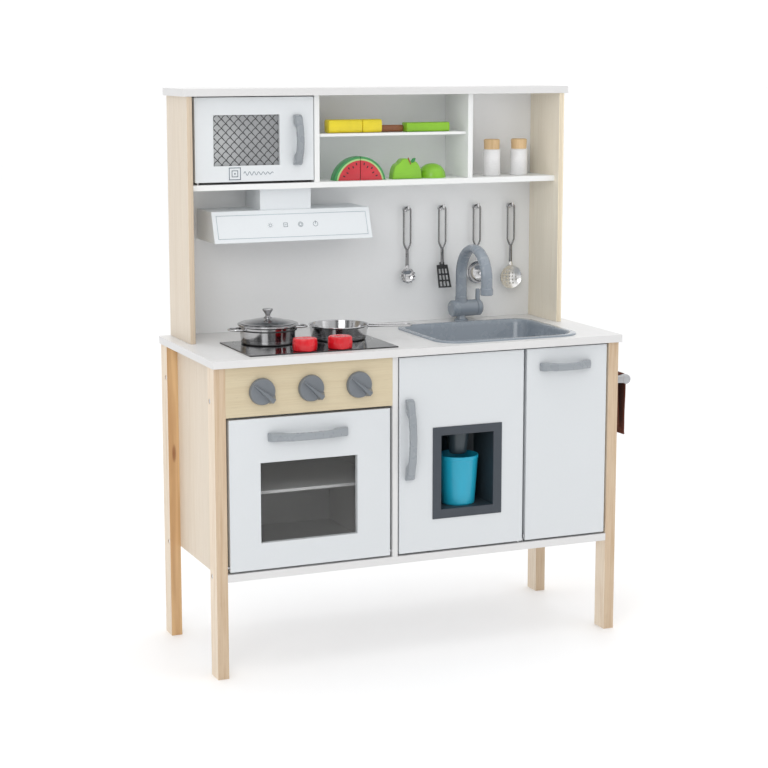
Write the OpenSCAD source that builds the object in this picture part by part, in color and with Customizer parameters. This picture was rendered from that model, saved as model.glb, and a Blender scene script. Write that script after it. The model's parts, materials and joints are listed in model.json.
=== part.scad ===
// Toy play kitchen: a cabinet on four legs with a worktop, an upper cabinet, doors,
// knobs, a tap and its loose play pieces. Every module is one physical piece.
// Sizes are in millimetres. x runs from left to right, y from front to back, z up.

/* [Cabinet] */
// Width across the outer faces of the legs
frame_w = 700; // [698:0.5:702]
// Depth from the front face of the front legs to the back face of the rear legs
frame_d = 280; // [279:0.5:282]
// Height of the legs, which is the underside of the worktop
leg_h = 490; // [488:0.5:492]
// Width of a leg seen from the front
leg_w = 18; // [17.5:0.1:18.5]
// Depth of a leg seen from the side
leg_d = 32; // [30:0.5:33]
// Thickness of the side panels and dividers
panel_t = 9; // [8.5:0.1:9.2]
// Thickness of the back panels
back_t = 4; // [3:0.5:5]
// Thickness of the worktop, the top board and the bottom board
board_t = 12; // [11:0.5:13]
// Height of the underside of the bottom board
bottom_z = 154; // [153:0.5:155]
// Left face of the centre divider
centre_divider_x = 294; // [293.5:0.5:295]
// Left face of the right divider
right_divider_x = 519.2; // [519:0.1:519.4]
// Height of the oven shelf's top face
oven_shelf_z = 284; // [270:1:300]

/* [Worktop] */
// How far the worktop stands out past the legs at each side
worktop_side = 4; // [2:0.5:6]
// How far the worktop stands out in front of the legs
worktop_front = 8; // [6:0.5:12]
// Left edge of the sink's rim
sink_x = 386; // [384:0.5:388]
// Width of the sink's rim
sink_w = 256; // [250:1:258]
// Front edge of the sink's rim
sink_y = 10; // [8:0.5:14]
// Depth of the sink's rim from front to back
sink_d = 214; // [208:1:216]
// Depth of the sink bowl below the worktop's top
sink_deep = 38; // [30:1:42]
// Left edge of the hob plate
hob_x = 62; // [58:1:66]
// Width of the hob plate
hob_w = 248; // [240:1:250]
// Front edge of the hob plate
hob_y = 12; // [8:1:16]
// Depth of the hob plate
hob_d = 150; // [146:1:156]

/* [Upper cabinet] */
// Height of the upper side panels above the worktop
upper_h = 391; // [389:0.5:394]
// Gap from the leg's outer face to the upper side panel's outer face
upper_inset = 16.5; // [16:0.5:17]
// Depth of the upper side panels
upper_d = 110; // [108:0.5:111]
// Distance from the upper side panels' front edge to the shelf's front edge
shelf_setback = 15; // [14:0.5:16]
// Height of the upper shelf's underside above the worktop
shelf_rise = 242; // [241:0.5:243]
// Width of the microwave compartment
microwave_w = 210; // [209:0.5:211]
// Width of the middle compartment
middle_w = 266; // [264:0.5:268]
// Height of the middle shelf's top face above the upper shelf
middle_rise = 77.5; // [76:0.5:79]
// Width of the range hood
hood_w = 273; // [262:1:276]
// Height of the range hood
hood_h = 50; // [46:0.5:53]

/* [Doors] */
// Thickness of the three lower doors
door_t = 12; // [11.5:0.1:12.2]
// Gap between a lower door and what is above or below it
door_gap = 3.5; // [3.4:0.1:3.8]
// Height of the control panel with the knobs
control_h = 78; // [77:0.5:79]
// Thickness of the microwave door
microwave_t = 9; // [8.5:0.1:9.2]
// Radius of the lower doors' hinge pins
pin_r = 2.5; // [2.3:0.1:2.6]
// Running clearance between a moving piece and its pin or axle
fit = 0.05; // [0.03:0.01:0.08]

/* [Play pieces] */
// Radius of the cooking pot's wall
pot_r = 45; // [43.5:0.5:45.5]
// Radius of the frying pan's rim
pan_r = 49; // [47.5:0.5:49.5]
// Radius of the cup at its rim
cup_r = 33.5; // [32:0.5:34]
// Height of the cup
cup_h = 81; // [78:0.5:81]
// Radius of the pepper and salt shakers
shaker_r = 14.7; // [13.7:0.5:16.7]

/* [Hidden] */
$fn = 64;

// Cabinet
bay_left = leg_w + panel_t;
bay_right = frame_w - leg_w - panel_t;
board_top = bottom_z + board_t;
side_drop = 2;
panel_front = door_t + 3.5;
back_y = frame_d - back_t;
oven_shelf_t = 5;
oven_shelf_front = 40;
worktop_top = leg_h + board_t;

// Upper cabinet
upper_front = frame_d - upper_d;
upper_left = upper_inset + panel_t;
upper_right = frame_w - upper_left;
upper_top = worktop_top + upper_h;
top_side = 6.5;
top_front = 3;
shelf_front = upper_front + shelf_setback;
shelf_z = worktop_top + shelf_rise;
shelf_top = shelf_z + panel_t;
divider_left_x = upper_left + microwave_w;
divider_right_x = divider_left_x + panel_t + middle_w;
middle_top = shelf_top + middle_rise;
middle_t = 5;
middle_setback = 9;

// The origin is at the bottom centre of the whole kitchen's box
rail_x = frame_w + 37;
rail_r = 6;
rail_z = leg_h - 71.5;
towel_gap = 0.4;
towel_t = 3;
handle_rise = 22;
left_most = -worktop_side;
right_most = rail_x + rail_r + towel_gap + towel_t;
origin_x = (left_most + right_most) / 2;
origin_y = (frame_d - handle_rise) / 2;

// Hinges of the lower doors
pivot_y = door_t / 2;
pivot_rise = 6.5;
door_bottom = board_top + door_gap;
pivot_z = door_bottom + pivot_rise;
door_top = leg_h - 3;
pin_seat = 10;
pin_in_door = 8;
side_gap = 4;
oven_x0 = leg_w + side_gap + 0.5;
oven_x1 = centre_divider_x - side_gap - 0.5;
oven_top = leg_h - control_h - door_gap - 0.5;
fridge_x0 = centre_divider_x + panel_t + 2.5;
fridge_x1 = right_divider_x + 7.1;
fridge_pivot_x = fridge_x1 - 6;
fridge_edge_r = 3;
dish_x0 = right_divider_x + panel_t + 2.8;
dish_x1 = frame_w - leg_w - side_gap;
plate_t = 1.7;
seat_gap = 0.02;

// Microwave door
microwave_x0 = upper_left + 8;
microwave_x1 = divider_left_x - 1.5;
microwave_z0 = shelf_top + 4;
microwave_z1 = upper_top - 2;
microwave_pivot_x = microwave_x0 + 5;
microwave_pivot_y = shelf_front + microwave_t / 2;
small_pin_r = 1.75;

// Windows, as distances from their doors' edges
oven_window = [73, 211, 161, 127];
microwave_window = [64.5, 782.5, 111.5, 80.5];
window_lip = 4;
pane_t = 3;

// Handles: a bar that bows out from two feet
handle_t = 7;
handle_end = 10;
handle_foot = 24;
handle_width = 14;

// Water dispenser in the fridge door
recess_x0 = 378.5;
recess_x1 = 471;
recess_z0 = 236;
recess_z1 = 357;
recess_back = 72;
recess_wall = 2.5;
flange = 15;
flange_t = 1.5;
cup_x = (recess_x0 + recess_x1) / 2;
cup_y = 36;
cup_base_r = cup_r - 6;
cup_wall = 1.8;
rest_gap = 0.1;
nozzle_bottom = recess_z0 + cup_h + 2;

// Knobs
knob_x = [76, 156, 236];
knob_z = leg_h - 40;
knob_r = 21;
knob_skirt = 8;
knob_tall = 17;
spindle_r = 3;
control_t = 9;

// Sink
rim_t = 3;
rim_w = 11;
sink_corner = 40;
bowl_wall = 2.5;
drain_r = 14;

// Tap
tap_x = 529;
tap_y = 247;
tap_z = worktop_top + 22;
tap_r = 14.2;
tap_left = 511;
tap_split = 556;
tap_right = 567;
spout_z = tap_z + 17;
lever_h = 32.5;
spout_reach = 50;
spout_arch_z = worktop_top + 80;
spout_end_z = worktop_top + 56;
oval_r = 7;
oval_half = 3;
pivot_pin_r = 4;

// Utensils on their hooks
hook_x = [435, 501, 567, 633];
hook_z = shelf_z - 48;
hook_r = 2;
hook_reach = 16;
utensil_y = back_y - 10;
wire_r = 1.6;
loop_half = 7.2;
loop_top = hook_z + hook_r + 0.15 + wire_r;
loop_arc_z = loop_top - loop_half;
loop_low_z = hook_z - 51;
loop_join_z = loop_low_z - 11;
head_z = hook_z - 98;
shaft_r = 2.2;

// Places of the loose pieces
hob_top = worktop_top + 2;
pot_place = [132, 127];
pot_h = 30;
steel_t = 1.2;
pan_place = [252.5, 125];
pan_h = 24;
pan_handle_len = 120;
pan_turn = -18;
hob_food_x = [158.5, 217.5];
hob_food_y = 31;
shaker_x = [573, 624.5];
shaker_y = 222;
shaker_body_h = 45;
shaker_cap_h = 17;
food_y = 214;

// ---------------------------------------------------------------- helpers

// Draws a piece given in the kitchen's own coordinates about the shared origin
module placed() {
    translate([-origin_x, -origin_y, 0]) children();
}

// A box between its lowest and highest corners
module block(low, high) {
    translate(low) cube(high - low);
}

// A rectangle with round corners, from its lower left corner
module round_rect(w, d, r) {
    translate([r, 0]) square([w - 2 * r, d]);
    translate([0, r]) square([w, d - 2 * r]);
    for (x = [r, w - r], y = [r, d - r])
        translate([x, y]) circle(r);
}

// A board lying flat, with round corners seen from above
module flat_board(low, high, r) {
    translate(low)
        linear_extrude(high[2] - low[2]) round_rect(high[0] - low[0], high[1] - low[1], r);
}

// Rods along each axis, starting at a point
module rod_x(at, len, r) {
    translate(at) rotate([0, 90, 0]) cylinder(r = r, h = len);
}

module rod_y(at, len, r) {
    translate(at) rotate([-90, 0, 0]) cylinder(r = r, h = len);
}

module rod_z(at, len, r) {
    translate(at) cylinder(r = r, h = len);
}

// A round wire between two points
module wire(a, b, r) {
    v = b - a;
    len = norm(v);
    translate(a)
        rotate([0, acos(v[2] / len), atan2(v[1], v[0])])
            cylinder(r = r, h = len, $fn = 24);
}

// A wire bent to half a circle that bulges towards +y, in the xy plane
module wire_arch(bend_r, r) {
    rotate_extrude(angle = 180, $fn = 48) translate([bend_r, 0]) circle(r, $fn = 24);
}

// Section of a door handle: u along the door, v out from it
module handle_profile(span) {
    half = span / 2;
    rise = handle_rise - handle_end;
    bend_r = (half * half + rise * rise) / (2 * rise);
    centre_v = handle_rise - bend_r;
    intersection() {
        translate([0, centre_v]) circle(bend_r, $fn = 256);
        union() {
            difference() {
                translate([-half, 0]) square([span, handle_rise + 1]);
                translate([0, centre_v]) circle(bend_r - handle_t, $fn = 256);
            }
            translate([-half, 0]) square([handle_foot, handle_rise]);
            translate([half - handle_foot, 0]) square([handle_foot, handle_rise]);
        }
    }
}

// A handle across the door, out from the door's front face
module handle_across(x, y, z, span) {
    translate([x, y, z]) mirror([0, 1, 0])
        linear_extrude(handle_width, center = true) handle_profile(span);
}

module handle_upright(x, y, z, span) {
    translate([x, y, z]) rotate([0, 90, 0]) mirror([0, 1, 0])
        linear_extrude(handle_width, center = true) handle_profile(span);
}

// ---------------------------------------------------------------- frame

bolt_r = 2.4;
bolt_head_r = 4;
bolt_head_t = 2.5;
bolt_z = [bottom_z + board_t / 2, leg_h - 54];
bolt_y = [24, frame_d - 24];
bolt_sink = 0.5;

// Bolt holes through a leg whose outer face is at x = 0
module bolt_holes(y) {
    for (z = bolt_z) {
        rod_x([-1, y, z], leg_w + 2, bolt_r + 0.1);
        rod_x([-1, y, z], 1 + bolt_sink + bolt_head_t, bolt_head_r + 0.3);
    }
}

module leg_left(y0, bolt) {
    difference() {
        block([0, y0, 0], [leg_w, y0 + leg_d, leg_h]);
        bolt_holes(bolt);
    }
}

// Turns a piece of the left side into its twin on the right side
module on_right() {
    translate([frame_w, 0, 0]) mirror([1, 0, 0]) children();
}

module leg_front_left() {
    color("burlywood") placed() difference() {
        leg_left(0, bolt_y[0]);
        rod_x([leg_w - pin_seat, pivot_y, pivot_z], pin_seat + 1, pin_r + seat_gap);
    }
}

module leg_front_right() {
    color("burlywood") placed() difference() {
        on_right() leg_left(0, bolt_y[0]);
        rod_x([frame_w - leg_w - 1, pivot_y, pivot_z], pin_seat + 1, pin_r + seat_gap);
    }
}

module leg_rear_left() {
    color("burlywood") placed() leg_left(frame_d - leg_d, bolt_y[1]);
}

module leg_rear_right() {
    color("burlywood") placed() on_right() leg_left(frame_d - leg_d, bolt_y[1]);
}

module side_panel() {
    difference() {
        block([leg_w, panel_front, bottom_z - side_drop], [leg_w + panel_t, frame_d, leg_h]);
        for (y = bolt_y, z = bolt_z)
            rod_x([leg_w - 1, y, z], panel_t + 2, bolt_r + 0.1);
    }
}

module side_panel_left() {
    color("wheat") placed() side_panel();
}

module side_panel_right() {
    color("wheat") placed() on_right() side_panel();
}

// The long bolts that reach past the side panels into the bottom board, and the short
// ones that end inside the panels
module bolts_left() {
    for (y = bolt_y, i = [0, 1]) {
        reach = i == 0 ? leg_w + panel_t + 15 : leg_w + panel_t - 1;
        rod_x([bolt_sink, y, bolt_z[i]], bolt_head_t, bolt_head_r);
        rod_x([bolt_sink, y, bolt_z[i]], reach - bolt_sink, bolt_r);
    }
}

module frame_bolts() {
    color("gray") placed() {
        bolts_left();
        on_right() bolts_left();
    }
}

module bottom_board() {
    color("whitesmoke") placed() difference() {
        union() {
            block([leg_w, 0, bottom_z], [frame_w - leg_w, panel_front, board_top]);
            block([bay_left, panel_front - 1, bottom_z], [bay_right, back_y, board_top]);
        }
        for (y = bolt_y) {
            rod_x([bay_left - 1, y, bolt_z[0]], 17, bolt_r + 0.1);
            rod_x([bay_right - 16, y, bolt_z[0]], 17, bolt_r + 0.1);
        }
        rod_z([fridge_pivot_x, pivot_y, board_top - 8], 9, pin_r + seat_gap);
    }
}

module centre_divider() {
    color("whitesmoke") placed() difference() {
        block([centre_divider_x, 0, board_top], [centre_divider_x + panel_t, back_y, leg_h]);
        rod_x([centre_divider_x - 1, pivot_y, pivot_z], 6, pin_r + seat_gap);
    }
}

module right_divider() {
    color("whitesmoke") placed() difference() {
        block([right_divider_x, panel_front + 0.5, board_top],
              [right_divider_x + panel_t, back_y, leg_h]);
        block([right_divider_x - 1, panel_front - 1, worktop_top - sink_deep - 6],
              [right_divider_x + panel_t + 1, sink_y + sink_d + 6, leg_h + 1]);
    }
}

module lower_back_panel() {
    color("gainsboro") placed()
        block([bay_left, back_y, bottom_z], [bay_right, frame_d, leg_h]);
}

module oven_shelf() {
    color("whitesmoke") placed()
        block([bay_left, oven_shelf_front, oven_shelf_z - oven_shelf_t],
              [centre_divider_x, back_y, oven_shelf_z]);
}

// ---------------------------------------------------------------- worktop

// The bowl's outline seen from above, grown by a margin
module bowl_outline(margin) {
    x0 = sink_x + rim_w - margin;
    y0 = sink_y + rim_w - margin;
    translate([x0, y0])
        round_rect(sink_w - 2 * rim_w + 2 * margin, sink_d - 2 * rim_w + 2 * margin,
                   sink_corner - rim_w / 2 + margin);
}

module worktop() {
    color("whitesmoke") placed() difference() {
        flat_board([-worktop_side, -worktop_front, leg_h],
                   [frame_w + worktop_side, frame_d, worktop_top], 4);
        translate([0, 0, leg_h - 1]) linear_extrude(board_t + 2) bowl_outline(bowl_wall + 1);
        rod_z([fridge_pivot_x, pivot_y, leg_h - 1], 10, pin_r + seat_gap);
    }
}

module control_panel() {
    color("wheat") placed() difference() {
        block([leg_w, 0, leg_h - control_h], [centre_divider_x, control_t, leg_h]);
        for (x = knob_x)
            rod_y([x, -1, knob_z], control_t + 2, spindle_r + fit);
    }
}

module hob_plate() {
    color([0.12, 0.12, 0.13]) placed()
        flat_board([hob_x, hob_y, worktop_top], [hob_x + hob_w, hob_y + hob_d, hob_top], 2);
}

module sink_basin() {
    bowl_z = worktop_top - sink_deep;
    color("slategray") placed() difference() {
        union() {
            flat_board([sink_x, sink_y, worktop_top],
                       [sink_x + sink_w, sink_y + sink_d, worktop_top + rim_t], sink_corner);
            translate([0, 0, bowl_z])
                linear_extrude(sink_deep + rim_t / 2) bowl_outline(bowl_wall);
        }
        translate([0, 0, bowl_z + bowl_wall]) linear_extrude(sink_deep + rim_t) bowl_outline(0);
        rod_z([sink_x + sink_w / 2, sink_y + sink_d / 2, bowl_z + bowl_wall - 1], 2, drain_r);
    }
}

module tap_body() {
    color("slategray") placed() {
        rod_z([tap_x, tap_y, worktop_top], tap_z - worktop_top, 8);
        rod_z([tap_x, tap_y, worktop_top], 3, 12);
        rod_x([tap_left, tap_y, tap_z], tap_split - tap_left, tap_r);
        rod_x([tap_left - 1.5, tap_y, tap_z], 2, tap_r - 2);
        rod_x([tap_split - 1, tap_y, tap_z], 8, 5);
        rod_z([tap_x, tap_y, tap_z], spout_z - tap_z, 11.5);
        rod_z([tap_x, tap_y, tap_z], spout_z - tap_z + 12, pivot_pin_r);
    }
}

// Section of the spout: an oval made of two circles and the strip between them
module oval() {
    for (s = [-1, 1])
        translate([0, s * oval_half]) circle(oval_r);
    translate([-oval_r, -oval_half]) square([2 * oval_r, 2 * oval_half]);
}

module tap_spout() {
    color("slategray") placed() difference() {
        union() {
            translate([tap_x, tap_y, spout_z + 0.3])
                rotate([0, 0, 90]) linear_extrude(spout_arch_z - spout_z) oval();
            translate([tap_x, tap_y - spout_reach, spout_arch_z])
                rotate([0, 0, 90]) rotate([90, 0, 0])
                    rotate_extrude(angle = 180, $fn = 96) translate([spout_reach, 0]) oval();
            translate([tap_x, tap_y - 2 * spout_reach, spout_end_z])
                rotate([0, 0, 90]) linear_extrude(spout_arch_z - spout_end_z + 0.3) oval();
            rod_z([tap_x, tap_y - 2 * spout_reach, spout_end_z], 12, oval_r + oval_half + 0.8);
        }
        rod_z([tap_x, tap_y, spout_z - 1], 14, pivot_pin_r + fit);
        rod_z([tap_x, tap_y - 2 * spout_reach, spout_end_z - 1], 9, 5.5);
    }
}

module tap_lever() {
    x0 = tap_split + 0.5;
    color("slategray") placed() difference() {
        union() {
            rod_x([x0, tap_y, tap_z], tap_right - x0 - 2, tap_r);
            rod_x([x0, tap_y, tap_z], tap_right - x0, tap_r - 2.5);
            rod_z([x0 + 4, tap_y, tap_z], lever_h, 3.8);
        }
        rod_x([x0 - 1, tap_y, tap_z], 8, 5 + fit);
    }
}

// ---------------------------------------------------------------- upper cabinet

module upper_side() {
    block([upper_inset, upper_front, worktop_top], [upper_left, frame_d, upper_top]);
}

module upper_side_left() {
    color("wheat") placed() upper_side();
}

module upper_side_right() {
    color("wheat") placed() on_right() upper_side();
}

module top_board() {
    color("whitesmoke") placed() difference() {
        flat_board([upper_inset - top_side, upper_front - top_front, upper_top],
                   [frame_w - upper_inset + top_side, frame_d, upper_top + board_t], 3);
        rod_z([microwave_pivot_x, microwave_pivot_y, upper_top - 1], 8, small_pin_r + seat_gap);
    }
}

module upper_shelf() {
    color("whitesmoke") placed() difference() {
        block([upper_left, shelf_front, shelf_z], [upper_right, back_y, shelf_top]);
        rod_z([microwave_pivot_x, microwave_pivot_y, shelf_top - 6], 7, small_pin_r + seat_gap);
    }
}

module upper_divider(x) {
    block([x, shelf_front, shelf_top], [x + panel_t, back_y, upper_top]);
}

module upper_divider_left() {
    color("whitesmoke") placed() upper_divider(divider_left_x);
}

module upper_divider_right() {
    color("whitesmoke") placed() upper_divider(divider_right_x);
}

module middle_shelf() {
    color("whitesmoke") placed()
        block([divider_left_x + panel_t, shelf_front + middle_setback, middle_top - middle_t],
              [divider_right_x, back_y, middle_top]);
}

module upper_back_panel() {
    color("gainsboro") placed()
        block([upper_left, back_y, worktop_top], [upper_right, frame_d, upper_top]);
}

hood_x = 63.5;
hood_gap = 35;
hood_bottom = shelf_z - hood_gap - hood_h;
hood_top = shelf_z - hood_gap;
hood_lip = shelf_front - 3;
hood_slope = 18;
hood_wall = 6;
chimney = [148, shelf_front + 19];
chimney_w = 88;
chimney_wall = 5;

// Slanted canopy, open underneath
module hood_canopy() {
    translate([hood_x, 0, 0]) rotate([90, 0, 90]) linear_extrude(hood_w)
        polygon([[hood_lip, hood_bottom], [back_y, hood_bottom], [back_y, hood_top],
                 [hood_lip + hood_slope, hood_top]]);
}

module hood_canopy_inside() {
    translate([hood_x + hood_wall, 0, 0]) rotate([90, 0, 90])
        linear_extrude(hood_w - 2 * hood_wall)
            polygon([[hood_lip + hood_wall, hood_bottom - 1], [back_y - hood_wall, hood_bottom - 1],
                     [back_y - hood_wall, hood_top - hood_wall],
                     [hood_lip + hood_slope + hood_wall, hood_top - hood_wall]]);
}

module range_hood() {
    color("whitesmoke") placed() difference() {
        union() {
            hood_canopy();
            block([chimney[0], chimney[1], hood_top - 1],
                  [chimney[0] + chimney_w, back_y, shelf_z]);
        }
        hood_canopy_inside();
        block([chimney[0] + chimney_wall, chimney[1] + chimney_wall, hood_top - hood_wall - 1],
              [chimney[0] + chimney_w - chimney_wall, back_y - hood_wall, shelf_z + 1]);
    }
}

module utensil_hooks() {
    color("silver") placed() for (x = hook_x) {
        rod_y([x, back_y - 3, hook_z], 3, 5);
        rod_y([x, back_y - hook_reach - hook_r, hook_z], hook_reach + hook_r - 1, hook_r);
        rod_z([x, back_y - hook_reach, hook_z], 8, hook_r);
    }
}

// ---------------------------------------------------------------- towel rail

rail_front = leg_d + 2;
rail_back = frame_d - leg_d - 2;
bracket_w = 12;

module rail_bracket(y) {
    panel_x = frame_w - leg_w;
    block([panel_x, y, rail_z - 14], [panel_x + 3, y + bracket_w, rail_z + 14]);
    block([panel_x, y, rail_z - 6.5], [rail_x, y + bracket_w, rail_z + 6.5]);
    rod_y([rail_x, y, rail_z], bracket_w, 8);
}

module towel_rail() {
    color("silver") placed() {
        rail_bracket(rail_front);
        rail_bracket(rail_back - bracket_w);
        rod_y([rail_x, rail_front + 1, rail_z], rail_back - rail_front - 2, rail_r);
    }
}

towel_y0 = 50;
towel_y1 = 190;
towel_front_low = 320;
towel_back_low = 334;

module towel() {
    inner = rail_r + towel_gap;
    outer = inner + towel_t;
    color("saddlebrown") placed()
        translate([0, towel_y1, 0]) rotate([90, 0, 0]) linear_extrude(towel_y1 - towel_y0) {
            translate([rail_x, rail_z]) intersection() {
                difference() {
                    circle(outer);
                    circle(inner);
                }
                translate([-outer, 0]) square([2 * outer, outer]);
            }
            translate([rail_x + inner, towel_front_low])
                square([towel_t, rail_z - towel_front_low + 0.01]);
            translate([rail_x - outer, towel_back_low])
                square([towel_t, rail_z - towel_back_low + 0.01]);
        }
}

// ---------------------------------------------------------------- hinges and doors

// Pins fixed in the frame that the doors turn on, and the plate that holds the
// dishwasher door's left pin in the gap between the doors
module hinge_hardware() {
    fridge_low = board_top - 8 + 0.5;
    micro_low = shelf_top - 6 + 0.5;
    plate_x = right_divider_x + panel_t;
    color("silver") placed() {
        rod_x([leg_w - pin_seat + 0.5, pivot_y, pivot_z],
              pin_seat - 0.5 + side_gap + 0.5 + pin_in_door, pin_r);
        rod_x([oven_x1 - pin_in_door, pivot_y, pivot_z],
              pin_in_door + centre_divider_x - oven_x1 + 4.5, pin_r);
        rod_x([dish_x1 - pin_in_door, pivot_y, pivot_z],
              pin_in_door + side_gap + pin_seat - 0.5, pin_r);
        rod_z([fridge_pivot_x, pivot_y, fridge_low], door_bottom + pin_in_door - fridge_low, pin_r);
        rod_z([fridge_pivot_x, pivot_y, door_top - pin_in_door],
              leg_h + 8.5 - door_top + pin_in_door, pin_r);
        rod_z([microwave_pivot_x, microwave_pivot_y, micro_low],
              microwave_z0 + pin_in_door - micro_low, small_pin_r);
        rod_z([microwave_pivot_x, microwave_pivot_y, microwave_z1 - pin_in_door],
              upper_top + 6.5 - microwave_z1 + pin_in_door, small_pin_r);
        block([plate_x, pivot_y, board_top], [plate_x + plate_t, 44, pivot_z + 4.5]);
        rod_x([plate_x, pivot_y, pivot_z], plate_t, 4.5);
        rod_x([plate_x, pivot_y, pivot_z], dish_x0 - plate_x + pin_in_door, pin_r);
    }
}

pin_hole = pin_in_door + 0.5;

// A window opening with a step at its back that the pane sits in
module window_cut(win, y0, t) {
    block([win[0], y0 - 1, win[1]], [win[0] + win[2], y0 + t + 1, win[1] + win[3]]);
    block([win[0] - window_lip, y0 + t - pane_t, win[1] - window_lip],
          [win[0] + win[2] + window_lip, y0 + t + 1, win[1] + win[3] + window_lip]);
}

module window_pane(win, y0, t) {
    lip = window_lip - 0.2;
    block([win[0] - lip, y0 + t - pane_t + 0.1, win[1] - lip],
          [win[0] + win[2] + lip, y0 + t, win[1] + win[3] + lip]);
}

module oven_door() {
    color("whitesmoke") placed() difference() {
        block([oven_x0, 0, door_bottom], [oven_x1, door_t, oven_top]);
        window_cut(oven_window, 0, door_t);
        rod_x([oven_x0 - 1, pivot_y, pivot_z], pin_hole + 1, pin_r + fit);
        rod_x([oven_x1 - pin_hole, pivot_y, pivot_z], pin_hole + 1, pin_r + fit);
    }
}

module oven_window() {
    color([0.2, 0.2, 0.22, 0.5]) placed() window_pane(oven_window, 0, door_t);
}

module oven_handle() {
    color("lightslategray") placed() handle_across(151, 0, 378, 132);
}

module fridge_door() {
    w = fridge_x1 - fridge_x0;
    cut = recess_wall + 0.5;
    color("whitesmoke") placed() difference() {
        translate([fridge_x0, 0, door_bottom]) linear_extrude(door_top - door_bottom) {
            square([w - fridge_edge_r, door_t]);
            translate([0, fridge_edge_r]) square([w, door_t - 2 * fridge_edge_r]);
            for (y = [fridge_edge_r, door_t - fridge_edge_r])
                translate([w - fridge_edge_r, y]) circle(fridge_edge_r);
        }
        block([recess_x0 - cut, -1, recess_z0 - cut],
              [recess_x1 + cut, door_t + 1, recess_z1 + cut]);
        rod_z([fridge_pivot_x, pivot_y, door_bottom - 1], pin_hole + 1, pin_r + fit);
        rod_z([fridge_pivot_x, pivot_y, door_top - pin_hole], pin_hole + 1, pin_r + fit);
    }
}

module fridge_handle() {
    color("lightslategray") placed() handle_upright(322, 0, 354.5, 131);
}

module dispenser_housing() {
    low = [recess_x0, recess_z0];
    high = [recess_x1, recess_z1];
    color("dimgray") placed() difference() {
        union() {
            block([low[0] - flange, -flange_t, low[1] - flange],
                  [high[0] + flange, 0, high[1] + flange - 1]);
            block([low[0] - recess_wall, -1, low[1] - recess_wall],
                  [high[0] + recess_wall, recess_back + recess_wall, high[1] + recess_wall]);
        }
        block([low[0], -flange_t - 1, low[1]], [high[0], recess_back, high[1]]);
    }
}

module dispenser_nozzle() {
    color("dimgray") placed() translate([cup_x, cup_y, nozzle_bottom])
        cylinder(r1 = 14, r2 = 19.5, h = recess_z1 - nozzle_bottom);
}

module dishwasher_door() {
    color("whitesmoke") placed() difference() {
        block([dish_x0, 0, door_bottom], [dish_x1, door_t, door_top]);
        rod_x([dish_x0 - 1, pivot_y, pivot_z], pin_hole + 1, pin_r + fit);
        rod_x([dish_x1 - pin_hole, pivot_y, pivot_z], pin_hole + 1, pin_r + fit);
    }
}

module dishwasher_handle() {
    color("lightslategray") placed() handle_across(600, 0, 457, 92);
}

module microwave_door() {
    color("whitesmoke") placed() difference() {
        block([microwave_x0, shelf_front, microwave_z0],
              [microwave_x1, shelf_front + microwave_t, microwave_z1]);
        window_cut(microwave_window, shelf_front, microwave_t);
        rod_z([microwave_pivot_x, microwave_pivot_y, microwave_z0 - 1], pin_hole + 1,
              small_pin_r + fit);
        rod_z([microwave_pivot_x, microwave_pivot_y, microwave_z1 - pin_hole], pin_hole + 1,
              small_pin_r + fit);
    }
}

module microwave_window() {
    color("gray") placed() window_pane(microwave_window, shelf_front, microwave_t);
}

module microwave_handle() {
    color("silver") placed() handle_upright(205, shelf_front, 822, 81);
}

// ---------------------------------------------------------------- knobs

// A round knob with a raised pointer that widens past its edge, and a spindle whose
// barb snaps in behind the control panel
module knob(i) {
    gap = 0.6;
    barb_y = control_t + 0.4;
    color("dimgray") placed() translate([knob_x[i], 0, knob_z]) {
        rod_y([0, -gap - knob_skirt, 0], knob_skirt, knob_r);
        rotate([90, 0, 0]) rotate([0, 0, -38]) translate([0, 0, gap])
            linear_extrude(knob_tall)
                polygon([[-knob_r + 1, -1.5], [knob_r + 2, -8], [knob_r + 2, 6.5], [-knob_r + 1, 1.5]]);
        rod_y([0, -gap - 1, 0], barb_y + gap + 3, spindle_r);
        rod_y([0, barb_y, 0], 1.6, spindle_r + 0.9);
    }
}

module knob_left() {
    knob(0);
}

module knob_centre() {
    knob(1);
}

module knob_right() {
    knob(2);
}

// ---------------------------------------------------------------- pots

// A pressed steel vessel standing on z = 0: radius at the base and rim, height, rim lip
module vessel(base_r, rim_r, h, lip) {
    rotate_extrude() polygon([
        [0, 0], [base_r - 3, 0], [base_r, 3], [rim_r, h - 2], [rim_r + lip, h - 1.5],
        [rim_r + lip, h], [rim_r - steel_t, h], [base_r - steel_t, 4],
        [base_r - 4, steel_t], [0, steel_t]
    ]);
}

// A wire loop handle that starts at x = 0 and runs to x = len, w between its wires
module wire_loop(len, w) {
    bend = w / 2;
    for (s = [-1, 1])
        wire([0, s * bend, 0], [len - bend, s * bend, 0], 1.6);
    translate([len - bend, 0, 0]) rotate([0, 0, -90]) wire_arch(bend, 1.6);
}

module pot_body() {
    color("silver") placed() translate([pot_place[0], pot_place[1], hob_top + rest_gap]) {
        vessel(pot_r - 2, pot_r, pot_h, 3);
        for (a = [0, 180])
            rotate([0, 0, a]) translate([pot_r - 3, 0, pot_h - 6]) wire_loop(23.4, 26);
    }
}

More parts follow.
